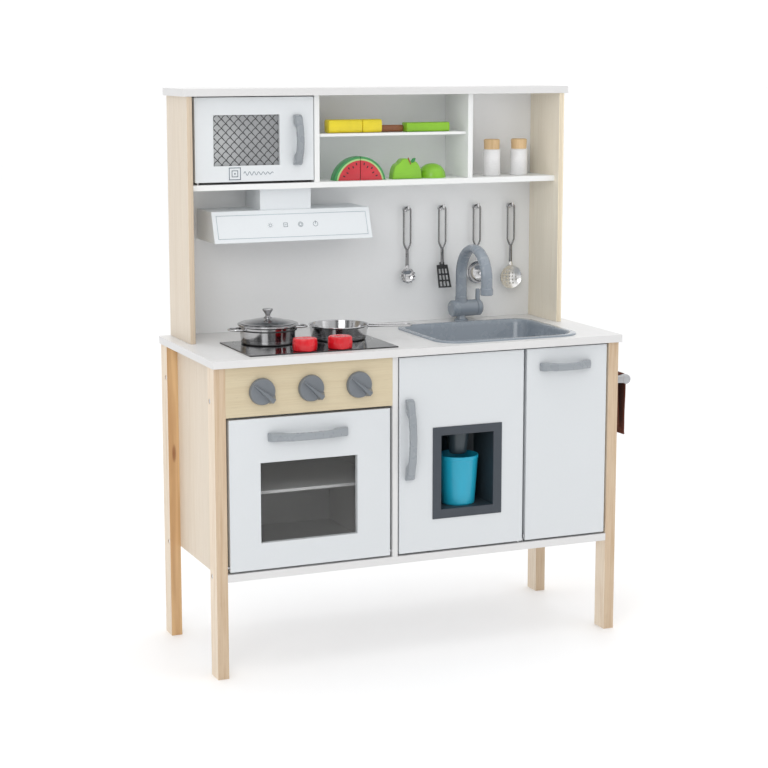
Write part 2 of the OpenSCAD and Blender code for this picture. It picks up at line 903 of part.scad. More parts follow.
module pot_lid() {
    dome_h = 10;
    rim_z = hob_top + rest_gap + pot_h + 0.1;
    dome_r = (pot_r * pot_r + dome_h * dome_h) / (2 * dome_h);
    color("silver") placed() translate([pot_place[0], pot_place[1], rim_z]) {
        rotate_extrude() difference() {
            union() {
                intersection() {
                    translate([0, dome_h - dome_r]) circle(dome_r, $fn = 180);
                    square([pot_r, dome_h + 1]);
                }
                square([pot_r + 3.5, steel_t]);
            }
            intersection() {
                translate([0, dome_h - dome_r - steel_t]) circle(dome_r, $fn = 180);
                translate([-1, -1]) square([pot_r - 1, dome_h + 2]);
            }
        }
        rotate_extrude() polygon([
            [0, dome_h - 1], [6, dome_h - 1], [6, dome_h + 1], [4, dome_h + 3],
            [4.2, dome_h + 8], [7.5, dome_h + 11.5], [8.7, dome_h + 13.5], [8.2, dome_h + 14.5],
            [0, dome_h + 15]
        ]);
    }
}

module frying_pan() {
    color("silver") placed() translate([pan_place[0], pan_place[1], hob_top + rest_gap]) {
        vessel(pan_r - 5, pan_r - 1.5, pan_h, 1.5);
        rotate([0, 0, pan_turn]) translate([pan_r - 3.4, 0, pan_h - 3])
            wire_loop(pan_handle_len - pan_r + 1.8, 20);
    }
}

module cup() {
    color("deepskyblue") placed() translate([cup_x, cup_y, recess_z0 + rest_gap])
        rotate_extrude() polygon([
            [0, 0], [cup_base_r - 1, 0], [cup_base_r, 1], [cup_r - 0.5, cup_h - 3],
            [cup_r, cup_h - 2.5], [cup_r, cup_h], [cup_r - cup_wall, cup_h],
            [cup_base_r - cup_wall, 2.5], [0, 2.5]
        ]);
}

// ---------------------------------------------------------------- utensils

// Outline of the utensils' wire loop seen from the front, grown by a margin
module loop_outline(margin) {
    top = loop_arc_z - hook_z;
    low = loop_low_z - hook_z;
    join = loop_join_z - hook_z;
    half = loop_half + margin;
    translate([0, top]) circle(half);
    translate([-half, low]) square([2 * half, top - low]);
    tip = 2 + margin;
    polygon([[-half, low + 0.01], [half, low + 0.01], [tip, join - margin], [-tip, join - margin]]);
}

// The loop and shaft that all four utensils share, about the hook's axis
module utensil_handle(shaft_end) {
    join = loop_join_z - hook_z;
    translate([0, wire_r, 0]) rotate([90, 0, 0]) linear_extrude(2 * wire_r) difference() {
        loop_outline(wire_r);
        loop_outline(-wire_r);
    }
    rod_z([0, 0, shaft_end], join - shaft_end + 2, shaft_r);
}

// Puts a utensil on its hook
module hung(i) {
    placed() translate([hook_x[i], utensil_y, hook_z]) children();
}

// A shallow bowl pressed from sheet, open towards the front: half width and depth
module dish(half, depth) {
    ball = (half * half + depth * depth) / (2 * depth);
    translate([0, 3, 0]) rotate([-90, 0, 0]) rotate_extrude() intersection() {
        difference() {
            translate([0, depth - ball]) circle(ball, $fn = 120);
            translate([0, depth - ball]) circle(ball - 1.3, $fn = 120);
        }
        square([half + 1, depth + 1]);
    }
}

// A block that joins a utensil's shaft to the rim of its bowl
module bowl_neck(z, front) {
    block([-3, front, z - 3], [3, 1.4, z + 5]);
}

module pasta_spoon() {
    bowl_r = 13;
    drop = head_z - hook_z - 15;
    color("silver") hung(0) {
        utensil_handle(drop + bowl_r);
        translate([0, -5, drop]) dish(bowl_r, 5);
        bowl_neck(drop + bowl_r, -3.4);
        for (x = [-9.6 : 4.8 : 9.6])
            block([x - 1, -7, drop - sqrt(bowl_r * bowl_r - x * x) + 0.2],
                  [x + 1, -1.6, drop - sqrt(bowl_r * bowl_r - x * x) + 2.6]);
    }
}

module slotted_turner() {
    head_w = 24;
    head_h = 40;
    tilt = 16;
    color("dimgray") hung(1) {
        utensil_handle(head_z - hook_z - 3);
        translate([0, 1.4, head_z - hook_z]) rotate([-tilt, 0, 0]) difference() {
            block([-head_w / 2, -2.6, -head_h], [head_w / 2, 0, 0]);
            for (x = [-6.6, 0.6], z = [-36, -25, -14])
                block([x, -3, z], [x + 6, 1, z + 8]);
        }
    }
}

module ladle() {
    bowl_r = 20;
    drop = head_z - hook_z - 14;
    color("silver") hung(2) {
        utensil_handle(drop + bowl_r);
        translate([0, -7, drop]) dish(bowl_r, 12);
        bowl_neck(drop + bowl_r, -4.6);
    }
}

module skimmer() {
    bowl_r = 21;
    drop = head_z - hook_z - 26;
    color("silver") hung(3) {
        utensil_handle(drop + bowl_r);
        difference() {
            translate([0, -5.5, drop]) dish(bowl_r, 7);
            for (ring = [[0, 1], [6.5, 6], [13, 12]], k = [0 : ring[1] - 1])
                translate([ring[0] * cos(k * 360 / ring[1]), -8, drop + ring[0] * sin(k * 360 / ring[1])])
                    rotate([-90, 0, 0]) cylinder(r = 1.3, h = 20, $fn = 24);
        }
        bowl_neck(drop + bowl_r, -3.6);
    }
}

// ---------------------------------------------------------------- shakers and play food

module shaker(i) {
    color("whitesmoke") placed() translate([shaker_x[i], shaker_y, shelf_top + rest_gap]) {
        cylinder(r = shaker_r, h = shaker_body_h);
        cylinder(r = shaker_r - 1, h = shaker_body_h + shaker_cap_h);
    }
}

module shaker_left() {
    shaker(0);
}

module shaker_right() {
    shaker(1);
}

// A rod of play food lying along x, with a flat underside at z = 0
module lying_rod(x, y, len, r, flat) {
    intersection() {
        rod_x([x, y, r - flat], len, r);
        block([x - 1, y - r, 0], [x + len + 1, y + r, 2 * r]);
    }
}

module middle_shelf_food() {
    color("gold") placed() translate([0, 0, middle_top + rest_gap]) {
        lying_rod(268, food_y, 59, 11.5, 1);
        lying_rod(327.8, food_y, 34, 11.5, 1);
        lying_rod(407, food_y, 78, 12, 8);
        lying_rod(364, food_y + 22, 60, 6, 1);
    }
}

// Half discs and half balls of fruit standing on the upper shelf
module upper_shelf_food() {
    melon_r = 46;
    melon_t = 20;
    color("tomato") placed() translate([0, 0, shelf_top + rest_gap]) {
        for (s = [-1, 1])
            translate([321 + s * 0.6, food_y - melon_t / 2, -7]) intersection() {
                rod_y([0, 0, 0], melon_t, melon_r);
                block([s < 0 ? -melon_r : 0, 0, 7], [s < 0 ? 0 : melon_r, melon_t, melon_r]);
            }
        translate([407, food_y - 8, 0]) difference() {
            union() {
                rod_y([0, 0, 12], 20, 26);
                rod_y([-4, 0, 27], 20, 12);
            }
            block([-40, -1, -20], [40, 21, 0]);
        }
        translate([460, food_y + 4, 0]) intersection() {
            sphere(24);
            block([-24, -24, 0], [24, 24, 24]);
        }
    }
}

module hob_food() {
    color("crimson") placed() for (x = hob_food_x)
        translate([x, hob_food_y, hob_top + rest_gap]) rotate_extrude() polygon([
            [0, 0], [17.5, 0], [19.8, 2], [20.5, 6], [20.5, 13], [19.3, 17], [16.5, 19], [0, 19.5]
        ]);
}

leg_front_left();
leg_front_right();
leg_rear_left();
leg_rear_right();
side_panel_left();
side_panel_right();
bottom_board();
centre_divider();
right_divider();
lower_back_panel();
oven_shelf();
worktop();
control_panel();
hob_plate();
sink_basin();
tap_body();
tap_spout();
tap_lever();
upper_side_left();
upper_side_right();
top_board();
upper_shelf();
upper_divider_left();
upper_divider_right();
middle_shelf();
upper_back_panel();
range_hood();
utensil_hooks();
towel_rail();
towel();
frame_bolts();
hinge_hardware();
oven_door();
oven_window();
oven_handle();
fridge_door();
fridge_handle();
dispenser_housing();
dispenser_nozzle();
dishwasher_door();
dishwasher_handle();
microwave_door();
microwave_window();
microwave_handle();
knob_left();
knob_centre();
knob_right();
pot_body();
pot_lid();
frying_pan();
cup();
pasta_spoon();
slotted_turner();
ladle();
skimmer();
shaker_left();
shaker_right();
middle_shelf_food();
upper_shelf_food();
hob_food();
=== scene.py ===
"""The looks of a toy kitchen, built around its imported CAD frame. Shapes are worked out in
millimetres and scaled to metres when a piece is made; materials, lights and camera are in
metres."""

import json
import math

import bmesh
import bpy
from mathutils import Matrix, Vector, noise


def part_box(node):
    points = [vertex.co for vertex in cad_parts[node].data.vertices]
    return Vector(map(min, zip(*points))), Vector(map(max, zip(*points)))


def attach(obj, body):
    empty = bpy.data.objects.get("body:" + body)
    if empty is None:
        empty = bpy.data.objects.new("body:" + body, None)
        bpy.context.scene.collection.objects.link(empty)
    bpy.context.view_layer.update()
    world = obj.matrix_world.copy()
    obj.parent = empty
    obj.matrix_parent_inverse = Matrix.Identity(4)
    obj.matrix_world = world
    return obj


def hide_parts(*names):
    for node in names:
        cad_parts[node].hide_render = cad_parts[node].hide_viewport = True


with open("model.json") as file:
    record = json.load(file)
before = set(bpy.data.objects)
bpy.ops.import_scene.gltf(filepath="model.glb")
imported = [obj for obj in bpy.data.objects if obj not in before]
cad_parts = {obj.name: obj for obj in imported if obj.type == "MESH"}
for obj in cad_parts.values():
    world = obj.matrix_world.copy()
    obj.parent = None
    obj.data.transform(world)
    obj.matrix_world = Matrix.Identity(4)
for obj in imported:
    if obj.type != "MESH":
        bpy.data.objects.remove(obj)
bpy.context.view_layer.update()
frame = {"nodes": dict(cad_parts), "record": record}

MM = 0.001
TURN = 2 * math.pi
JOINTS = {joint["name"]: joint for joint in frame["record"]["behaviour"]["joints"]}
MAT = {}


# ---------------------------------------------------------------- places from the frame, in mm

def low(node):
    return Vector(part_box(node)[0]) / MM


def high(node):
    return Vector(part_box(node)[1]) / MM


def ends(node):
    return low(node), high(node)


def mid(node):
    return (low(node) + high(node)) / 2


def foot_of(node):
    """The middle of a node's underside."""
    return Vector((mid(node).x, mid(node).y, low(node).z))


def pivot(joint):
    return Vector(JOINTS[joint]["pos_m"]) / MM


# ---------------------------------------------------------------- node building

class Nodes:
    """A short way to write the nodes of a material, or of another node tree."""

    def __init__(self, name, tree=None):
        self.name = name
        if not tree:
            self.material = bpy.data.materials.new(name)
            self.material.use_nodes = True
            tree = self.material.node_tree
            self.shader = tree.nodes["Principled BSDF"]
        self.tree = tree
        self.places = self.add("ShaderNodeTexCoord").outputs
        self.object = self.places["Object"]

    def add(self, kind, inputs=None, **settings):
        node = self.tree.nodes.new(kind)
        for key, value in settings.items():
            setattr(node, key, value)
        for key, value in (inputs or {}).items():
            self.put(node.inputs[key], value)
        return node

    def put(self, socket, value):
        if isinstance(value, bpy.types.NodeSocket):
            self.tree.links.new(value, socket)
        else:
            socket.default_value = value

    def math(self, operation, a, b=0.0):
        return self.add("ShaderNodeMath", {0: a, 1: b}, operation=operation).outputs[0]

    def vector(self, operation, *values):
        node = self.add("ShaderNodeVectorMath", dict(enumerate(values)), operation=operation)
        return node.outputs["Value" if operation in ("LENGTH", "DISTANCE") else "Vector"]

    def axes(self, vector=None):
        return self.add("ShaderNodeSeparateXYZ", {"Vector": vector or self.object}).outputs

    def scaled(self, scale, vector=None):
        inputs = {"Vector": vector or self.object, "Scale": scale}
        return self.add("ShaderNodeMapping", inputs).outputs["Vector"]

    def noise(self, scale, detail=3.0, rough=0.5, distortion=0.0, vector=None):
        """Noise at one scale, or at a scale for each axis."""
        scale = scale if isinstance(scale, tuple) else (scale,) * 3
        return self.add("ShaderNodeTexNoise", {
            "Vector": self.scaled(scale, vector), "Scale": 1.0, "Detail": detail,
            "Roughness": rough, "Distortion": distortion}).outputs["Fac"]

    def ramp(self, value, *stops):
        """Colours or greys along a value; each stop is (position, grey or colour)."""
        node = self.add("ShaderNodeValToRGB", {"Fac": value})
        band = node.color_ramp
        while len(band.elements) < len(stops):
            band.elements.new(0.5)
        for element, (place, colour) in zip(band.elements, stops):
            element.position = place
            grey = isinstance(colour, (int, float))
            element.color = (colour, colour, colour, 1) if grey else (*colour, 1)
        return node.outputs["Color"]

    def tints(self, value, colour, *stops):
        """One colour made darker or lighter along a value; each stop is (position, factor)."""
        return self.ramp(value, *((place, tint(colour, factor)) for place, factor in stops))

    def mix(self, factor, a, b, blend="MIX"):
        a, b = ((*c, 1) if isinstance(c, tuple) else c for c in (a, b))
        return self.add("ShaderNodeMix", data_type="RGBA", blend_type=blend,
                        inputs={0: factor, 6: a, 7: b}).outputs[2]

    def bump(self, height, distance, strength=1.0, under=None):
        inputs = {"Height": height, "Distance": distance, "Strength": strength}
        if under:
            inputs["Normal"] = under
        return self.add("ShaderNodeBump", inputs).outputs["Normal"]

    def set(self, **values):
        """Sets the shader's sockets; an underscore in a name stands for a space."""
        for key, value in values.items():
            socket = self.shader.inputs[key.replace("_", " ")]
            if isinstance(value, tuple) and len(value) == 3 and socket.type == "RGBA":
                value = (*value, 1)
            self.put(socket, value)
        MAT[self.name] = self.material


def tint(colour, factor):
    return tuple(min(1.0, channel * factor) for channel in colour)


# ---------------------------------------------------------------- materials

def along(axis, fine, coarse):
    """Scales for something that runs along an axis: coarse along it, fine across it."""
    return tuple(coarse if name == axis else fine for name in "XYZ")


def face_mask(n, axis):
    """1 on faces that look along an axis, 0 on the others."""
    return n.math("GREATER_THAN", n.math("ABSOLUTE", n.axes(n.places["Normal"])[axis]), 0.8)


def heartwood(n, colour, at):
    """Adds a reddish heart streak to the faces that look forwards, with one long knot."""
    half_width, half_height = 0.0060, 0.026
    streak = n.noise((60, 60, 3.2), distortion=0.5)
    warm = n.mix(n.ramp(streak, (0.35, 0.0), (0.65, 1.0)), (0.76, 0.50, 0.245),
                 (0.56, 0.31, 0.13))
    span = n.vector("MULTIPLY", n.vector("SUBTRACT", n.object, at),
                    (1 / half_width, 0.0, 1 / half_height))
    reach = n.math("ADD", n.vector("LENGTH", span), n.math("MULTIPLY", streak, 0.6))
    knot = n.ramp(reach, (0.45, 1.0), (0.75, 0.75), (1.0, 0.0))
    warm = n.mix(knot, warm, (0.30, 0.105, 0.025))
    return n.mix(n.math("MULTIPLY", face_mask(n, "Y"), 0.93), colour, warm)


def wood(name, light, dark, axis="Z", rings=42.0, contrast=0.55, rough=0.5, knots=False,
         plies=None, painted_front_shade=None, heart_at=None):
    """Lacquered wood with its grain along an axis. plies is the axis across a plywood
    sheet, whose edges then show thin layers. A colour given for the front shade darkens
    the faces that look forwards or back: painted shade, as those faces get less light."""
    n = Nodes(name)
    warp = n.noise(along(axis, 16, 2.2), 2)
    warp = n.add("ShaderNodeCombineXYZ", {"X": warp, "Y": warp, "Z": warp}).outputs[0]
    warped = n.vector("MULTIPLY_ADD", warp, along(axis, 0.030, 0.0), n.object)
    figure = n.noise(along(axis, rings, rings * 0.022), 4, 0.55, 0.25, warped)
    fibres = n.noise(along(axis, 900, 14), 3, 0.65)
    pores = n.noise(along(axis, 1500, 60), 2, 0.6)
    broad = n.noise(along(axis, 7, 1.2), 1)
    middle = tuple((a + b) / 2 for a, b in zip(light, dark))
    colour = n.ramp(figure, (0.30, tint(light, 1.02)), (0.5, light), (0.62, middle), (0.72, dark))
    colour = n.mix(1 - contrast, colour, light)
    colour = n.mix(0.35, colour, n.ramp(fibres, (0.35, tint(dark, 0.92)), (0.6, light)))
    colour = n.mix(n.math("MULTIPLY", n.ramp(pores, (0.28, 1.0), (0.36, 0.0)), 0.25),
                   colour, tint(dark, 0.62))
    colour = n.mix(0.16, colour, n.ramp(broad, (0.3, 0.62), (0.7, 1.0)), "MULTIPLY")
    if knots:
        cells = n.add("ShaderNodeTexVoronoi", {
            "Vector": n.scaled(along(axis, 30, 5.2)), "Scale": 1.0, "Randomness": 0.9})
        knot = n.ramp(cells.outputs["Distance"], (0.055, 1.0), (0.12, 0.45), (0.2, 0.0))
        colour = n.mix(n.math("MULTIPLY", knot, 0.6), colour, tint(dark, 0.42))
    if plies:
        layers = n.add("ShaderNodeTexNoise", {"W": n.axes()[plies], "Scale": 420.0, "Detail": 0.0},
                       noise_dimensions="1D")
        tone = n.ramp(layers.outputs["Fac"], (0.44, tint(dark, 0.72)), (0.5, light))
        colour = n.mix(face_mask(n, plies), n.mix(0.55, colour, tone, "MULTIPLY"), colour)
    # painted shade: faces that look forwards or back are multiplied darker than the sides
    if painted_front_shade:
        colour = n.mix(face_mask(n, "Y"), colour, n.mix(1.0, colour, painted_front_shade, "MULTIPLY"))
    if heart_at:
        colour = heartwood(n, colour, heart_at)
    bump = n.bump(figure, 0.0004, 0.12, n.bump(fibres, 0.00012, 0.35))
    roughness = n.ramp(fibres, (0.3, rough + 0.08), (0.7, rough - 0.05))
    n.set(Base_Color=colour, Roughness=roughness, Normal=bump, Coat_Weight=0.12,
          Coat_Roughness=0.35)


def lacquer(name, colour, rough=0.36, peel=0.10):
    """Sprayed paint on board: faint orange peel, slight unevenness in tone and gloss."""
    n = Nodes(name)
    base = n.mix(0.5, colour, n.tints(n.noise(3, 2), colour, (0.3, 0.975), (0.7, 1.02)))
    base = n.mix(0.10, base, n.tints(n.noise(240, 2), colour, (0.35, 0.93), (0.6, 1)))
    bump = n.bump(n.noise(420, 2, 0.4), 0.00006, peel * 3)
    bump = n.bump(n.noise(22, 1), 0.0009, 0.05, bump)
    roughness = n.ramp(n.noise(35), (0.3, rough - 0.04), (0.7, rough + 0.06))
    n.set(Base_Color=base, Roughness=roughness, Normal=bump, Coat_Weight=0.08,
          Coat_Roughness=0.22)


def moulded(name, colour, rough=0.42, grain=0.3, metallic=0.0, coat=0.0, flow_marks=1.0, **extra):
    """Moulded plastic with a fine even texture and faint flow marks."""
    n = Nodes(name)
    flow = n.noise((28, 28, 12), 2, distortion=0.6)
    spread, uneven = 0.065 * flow_marks, 0.01 + 0.05 * flow_marks
    base = n.tints(flow, colour, (0.3, 1 - spread), (0.7, 1 + spread))
    spark = n.noise(1900, 1)
    base = n.mix(0.22 * flow_marks, base, n.tints(spark, colour, (0.35, 0.8), (0.65, 1.15)))
    bump = n.bump(flow, 0.0003, 0.05 * flow_marks, n.bump(spark, 0.00005, grain))
    roughness = n.ramp(n.noise(60), (0.3, max(rough - uneven, 0.02)), (0.7, rough + uneven))
    n.set(Base_Color=base, Roughness=roughness, Normal=bump, Metallic=metallic,
          Coat_Weight=coat, Coat_Roughness=0.12, **extra)


def steel(name, colour, rough=0.2, scale=(2.0, 260.0, 1.0)):
    """Stainless steel with turned or drawn marks that follow the piece's own UV lines."""
    n = Nodes(name)
    marks = n.noise(scale, 4, 0.7, vector=n.places["UV"])
    haze = n.noise(45)
    base = n.tints(marks, colour, (0.3, 0.86), (0.7, 1.08))
    base = n.mix(0.3, base, n.tints(haze, colour, (0.3, 0.9), (0.7, 1.05)))
    roughness = n.ramp(haze, (0.3, max(rough - 0.05, 0.02)), (0.7, rough + 0.08))
    n.set(Base_Color=base, Metallic=1.0, Roughness=roughness, Normal=n.bump(marks, 0.00005, 0.3))


def painted_wood(name, colour, rough=0.34):
    """Wooden toy piece under a coat of bright paint; the grain still shows a little."""
    n = Nodes(name)
    fibres, tone = n.noise((40, 500, 500), 3, 0.6), n.noise(35, 2)
    base = n.mix(0.14, n.tints(tone, colour, (0.3, 0.9), (0.7, 1.06)),
                 n.tints(fibres, colour, (0.35, 0.75), (0.6, 1)))
    roughness = n.ramp(tone, (0.3, rough - 0.05), (0.7, rough + 0.06))
    n.set(Base_Color=base, Roughness=roughness, Normal=n.bump(fibres, 0.00012, 0.3),
          Coat_Weight=0.2, Coat_Roughness=0.2)


def hob_black(name, centres, radius=0.057):
    """Polished black plate with printed rings where the pots stand."""
    n = Nodes(name)
    base = n.ramp(n.noise(60, 4), (0.3, (0.010, 0.010, 0.012)), (0.7, (0.016, 0.016, 0.018)))
    flat = n.vector("MULTIPLY", n.object, (1, 1, 0))
    for centre in centres:
        away = n.vector("DISTANCE", flat, (centre.x, centre.y, 0))
        for ring_radius, width in ((radius, 0.0010), (radius - 0.005, 0.0006)):
            off = n.math("ABSOLUTE", n.math("SUBTRACT", away, ring_radius))
            base = n.mix(n.math("LESS_THAN", off, width / 2), base, (0.34, 0.35, 0.36))
    wipe = n.noise((14, 220, 1), distortion=0.8)
    n.set(Base_Color=base, Roughness=n.ramp(wipe, (0.35, 0.07), (0.75, 0.15)), Coat_Weight=0.3,
          Coat_Roughness=0.04)


def mesh_pane(name, node):
    """Grey pane with a printed diamond mesh of black waved lines and a black border."""
    n = Nodes(name)
    a, b = low(node) * MM, high(node) * MM
    pitch, slant, line_share, ripple_reach, border_width = 0.0143, 0.984, 0.072, 0.0003, 0.0014
    cross_x, cross_z = a.x + 0.0620, a.z + 0.0201
    x, z = n.axes()["X"], n.axes()["Z"]

    def rippled(value, other):
        wave = n.math("SINE", n.math("MULTIPLY", other, TURN / pitch * 2))
        return n.math("ADD", value, n.math("MULTIPLY", wave, ripple_reach))

    def from_edge(value, first, last):
        return n.math("MINIMUM", n.math("SUBTRACT", value, first), n.math("SUBTRACT", last, value))

    px, pz = rippled(x, z), rippled(z, x)
    lines = []
    for sign in (1, -1):
        run = n.math("ADD", n.math("SUBTRACT", px, cross_x),
                     n.math("MULTIPLY", n.math("SUBTRACT", pz, cross_z), slant * sign))
        cell = n.math("FRACT", n.math("ADD", n.math("DIVIDE", run, pitch), 50.5))
        off = n.math("ABSOLUTE", n.math("SUBTRACT", cell, 0.5))
        lines.append(n.math("LESS_THAN", off, line_share))
    inward = n.math("MINIMUM", from_edge(px, a.x, b.x), from_edge(pz, a.z, b.z))
    dark = n.math("MAXIMUM", n.math("MAXIMUM", *lines), n.math("LESS_THAN", inward, border_width))
    haze = n.noise(25)
    # painted light and shade: the pane's grey runs from lighter at its left edge to darker at its
    # right
    side = n.math("DIVIDE", n.math("SUBTRACT", x, a.x), b.x - a.x)
    grey = n.ramp(side, (0.0, (0.50, 0.515, 0.52)), (0.45, (0.36, 0.37, 0.38)),
                  (1.0, (0.30, 0.31, 0.32)))
    grey = n.mix(0.4, grey, n.ramp(haze, (0.3, 0.55), (0.7, 1.0)), "MULTIPLY")
    n.set(Base_Color=n.mix(dark, grey, (0.028, 0.028, 0.032)), Coat_Weight=0.4,
          Coat_Roughness=0.05, Roughness=n.ramp(haze, (0.3, 0.16), (0.7, 0.24)),
          Normal=n.bump(n.math("SUBTRACT", 1.0, dark), 0.0002, 0.4))


def smoked(name):
    """Smoked clear plastic, slightly marked by wiping."""
    n = Nodes(name)
    wipe = n.noise((9, 9, 60), distortion=0.7)
    base = n.ramp(wipe, (0.3, (0.105, 0.107, 0.106)), (0.7, (0.13, 0.132, 0.130)))
    n.set(Base_Color=base, Roughness=n.ramp(wipe, (0.35, 0.05), (0.75, 0.12)), Alpha=0.17,
          Coat_Weight=0.2, Coat_Roughness=0.03)


def terry(name, colour):
    """Woven cotton: crossed threads, small loops and a soft sheen."""
    n = Nodes(name)
    threads = [n.add("ShaderNodeTexWave", {
        "Vector": n.scaled(scale, n.places["UV"]), "Scale": 1.0, "Distortion": 1.2,
        "Detail": 2.0}, bands_direction=axis).outputs["Fac"]
        for axis, scale in (("X", (620, 1, 1)), ("Y", (1, 620, 1)))]
    weave = n.math("MULTIPLY", *threads)
    fluff, fade = n.noise(1400, 3, 0.7), n.noise(18, 2)
    base = n.tints(weave, colour, (0.1, 0.62), (0.8, 1.35))
    base = n.mix(0.35, base, n.tints(fluff, colour, (0.3, 0.6), (0.7, 1.6)))
    base = n.mix(0.2, base, n.ramp(fade, (0.3, 0.55), (0.7, 1.0)), "MULTIPLY")
    bump = n.bump(fluff, 0.0005, 0.5, n.bump(weave, 0.0006, 0.6))
    n.set(Base_Color=base, Roughness=0.92, Normal=bump, Sheen_Weight=0.08, Sheen_Roughness=0.45)


def studio_floor(name):
    n = Nodes(name)
    base = n.ramp(n.noise(1.5, 2), (0.3, (0.945, 0.945, 0.95)), (0.7, (0.965, 0.965, 0.97)))
    n.set(Base_Color=base, Roughness=0.55, Emission_Color=(1.0, 1.0, 1.0), Emission_Strength=0.03)


PINE = dict(light=(0.89, 0.765, 0.61), dark=(0.71, 0.52, 0.345), rings=210, contrast=0.9,
            rough=0.48)
PLY = dict(rings=70, contrast=0.6)
HEART_KNOT = (mid("leg_rear_left").x * MM, 0.0, 0.31)
PAN_CENTRE = (low("frying_pan") + Vector((49, 49, 0))) * MM

# painted shade: the legs' front and back faces are darkened, as they get less light than the left
# sides
wood("pine", **PINE, knots=True, painted_front_shade=(0.75, 0.68, 0.60))
wood("pine_heart", **PINE, heart_at=HEART_KNOT)
wood("birch_ply", (0.785, 0.69, 0.57), (0.69, 0.575, 0.435), plies="X", **PLY)
# painted light: a lighter copy of the birch plywood for the upper right side, standing in for the
# light on its inner face
wood("birch_ply_painted_lit", (0.95, 0.88, 0.74), (0.86, 0.76, 0.60), plies="X", **PLY)
wood("birch_ply_across", (0.675, 0.58, 0.40), (0.59, 0.475, 0.305), axis="X", plies="Y", **PLY)
wood("cap_wood", (0.76, 0.54, 0.30), (0.60, 0.38, 0.17), rings=120, contrast=0.8)
lacquer("white_lacquer", (0.690, 0.716, 0.736))
# painted light: a lighter copy of the doors' white for the microwave door, so it reads as more
# brightly lit
lacquer("white_lacquer_lit_upper", (0.775, 0.805, 0.825))
lacquer("white_top_lacquer", (0.735, 0.732, 0.730))
# painted light: lighter copies of the white for the shelves, dividers and back panels, standing in
# for light inside the open shelves
lacquer("white_lit_inside", (0.90, 0.91, 0.905), rough=0.42)
lacquer("white_lit_back", (0.89, 0.90, 0.905), rough=0.42, peel=0.05)
lacquer("hood_lacquer", (0.79, 0.825, 0.85), rough=0.38, peel=0.03)
steel("zinc_steel", (0.60, 0.60, 0.61), rough=0.26)
steel("turned_steel", (0.60, 0.60, 0.61), rough=0.13)
# painted reflection: a darker copy of the pot's steel for the lid, for the darker reflections it
# shows
steel("lid_steel_painted_dark", (0.42, 0.42, 0.43), rough=0.12)
# painted reflection: the wires and shafts get a dark copy of the steel, for the dark surroundings
# they reflect; the skimmer's head gets a bright copy, for bright reflections round its holes
steel("wire_steel_painted_dark", (0.24, 0.24, 0.245), scale=(260.0, 2.0, 1.0))
steel("bowl_steel_painted_bright", (0.88, 0.875, 0.86), rough=0.24)
steel("hook_steel", (0.72, 0.72, 0.73))
moulded("handle_grey", (0.29, 0.315, 0.34), rough=0.28, grain=0.08, coat=0.3, flow_marks=0.35)
moulded("knob_grey", (0.165, 0.182, 0.202), rough=0.40, grain=0.35, coat=0.1)
moulded("sink_grey", (0.270, 0.310, 0.357), rough=0.27, grain=0.03, coat=0.5, flow_marks=0.15)
moulded("rail_grey", (0.44, 0.45, 0.47), rough=0.26, metallic=0.35, flow_marks=0.4)
moulded("dispenser_grey", (0.044, 0.054, 0.068), rough=0.4)
moulded("recess_black", (0.028, 0.042, 0.052), rough=0.45)
moulded("nozzle_grey", (0.034, 0.052, 0.064), rough=0.34, grain=0.2, coat=0.2)
moulded("cup_blue", (0.012, 0.385, 0.56), rough=0.34, grain=0.08, coat=0.12,
        Subsurface_Weight=0.15, Subsurface_Radius=(0.004, 0.006, 0.008))
moulded("tool_black", (0.020, 0.021, 0.023), rough=0.38, grain=0.25)
moulded("gasket_black", (0.015, 0.015, 0.016), rough=0.5)
moulded("print_grey", (0.16, 0.20, 0.24), rough=0.5)
moulded("print_pale", (0.42, 0.50, 0.55), rough=0.5)
moulded("groove_dark", (0.05, 0.05, 0.055), rough=0.6)
painted_wood("shaker_white", (0.82, 0.82, 0.82), rough=0.42)
painted_wood("food_yellow", (0.86, 0.70, 0.020))
painted_wood("food_green", (0.28, 0.60, 0.020))
painted_wood("handle_brown", (0.33, 0.12, 0.05), rough=0.45)
painted_wood("rind_green", (0.05, 0.30, 0.09))
painted_wood("rind_pale", (0.42, 0.66, 0.26))
painted_wood("melon_red", (0.62, 0.034, 0.050))
painted_wood("seed_black", (0.012, 0.010, 0.010))
painted_wood("apple_green", (0.25, 0.58, 0.030))
painted_wood("leaf_green", (0.02, 0.24, 0.05))
painted_wood("food_red", (0.72, 0.010, 0.020), rough=0.25)
hob_black("hob_black", [mid("pot_lid") * MM, PAN_CENTRE])
mesh_pane("mesh_pane", "microwave_window")
smoked("smoked_pane")
terry("towel_cotton", (0.150, 0.030, 0.011))
studio_floor("studio_floor")


# ---------------------------------------------------------------- shapes, in mm
# A shape is (points, faces, uvs); uvs is one (u, v) for each point, or None.

TO_FRONT = Matrix.Rotation(math.radians(90), 4, "X")       # z to -y
TO_BACK = Matrix.Rotation(math.radians(-90), 4, "X")       # z to +y
TO_RIGHT = Matrix.Rotation(math.radians(90), 4, "Y")       # z to +x
BOX_FACES = [(0, 3, 2, 1), (4, 5, 6, 7), (0, 1, 5, 4), (1, 2, 6, 5), (2, 3, 7, 6), (3, 0, 4, 7)]


def steps_of(count, first=0.0, last=1.0):
    """Evenly spaced values from first to last, both included."""
    return [first + (last - first) * k / count for k in range(count + 1)]


def circle(count, first=0.0):
    """The angles of evenly spaced points round a circle."""
    return [first + TURN * k / count for k in range(count)]


def combine(*shapes):
    points, faces, uvs = [], [], []
    for shape in shapes:
        base = len(points)
        points += shape[0]
        faces += [tuple(base + i for i in face) for face in shape[1]]
        uvs += shape[2] or [(0.0, 0.0)] * len(shape[0])
    return points, faces, uvs


def moved(shape, matrix):
    return [matrix @ Vector(p) for p in shape[0]], shape[1], shape[2]


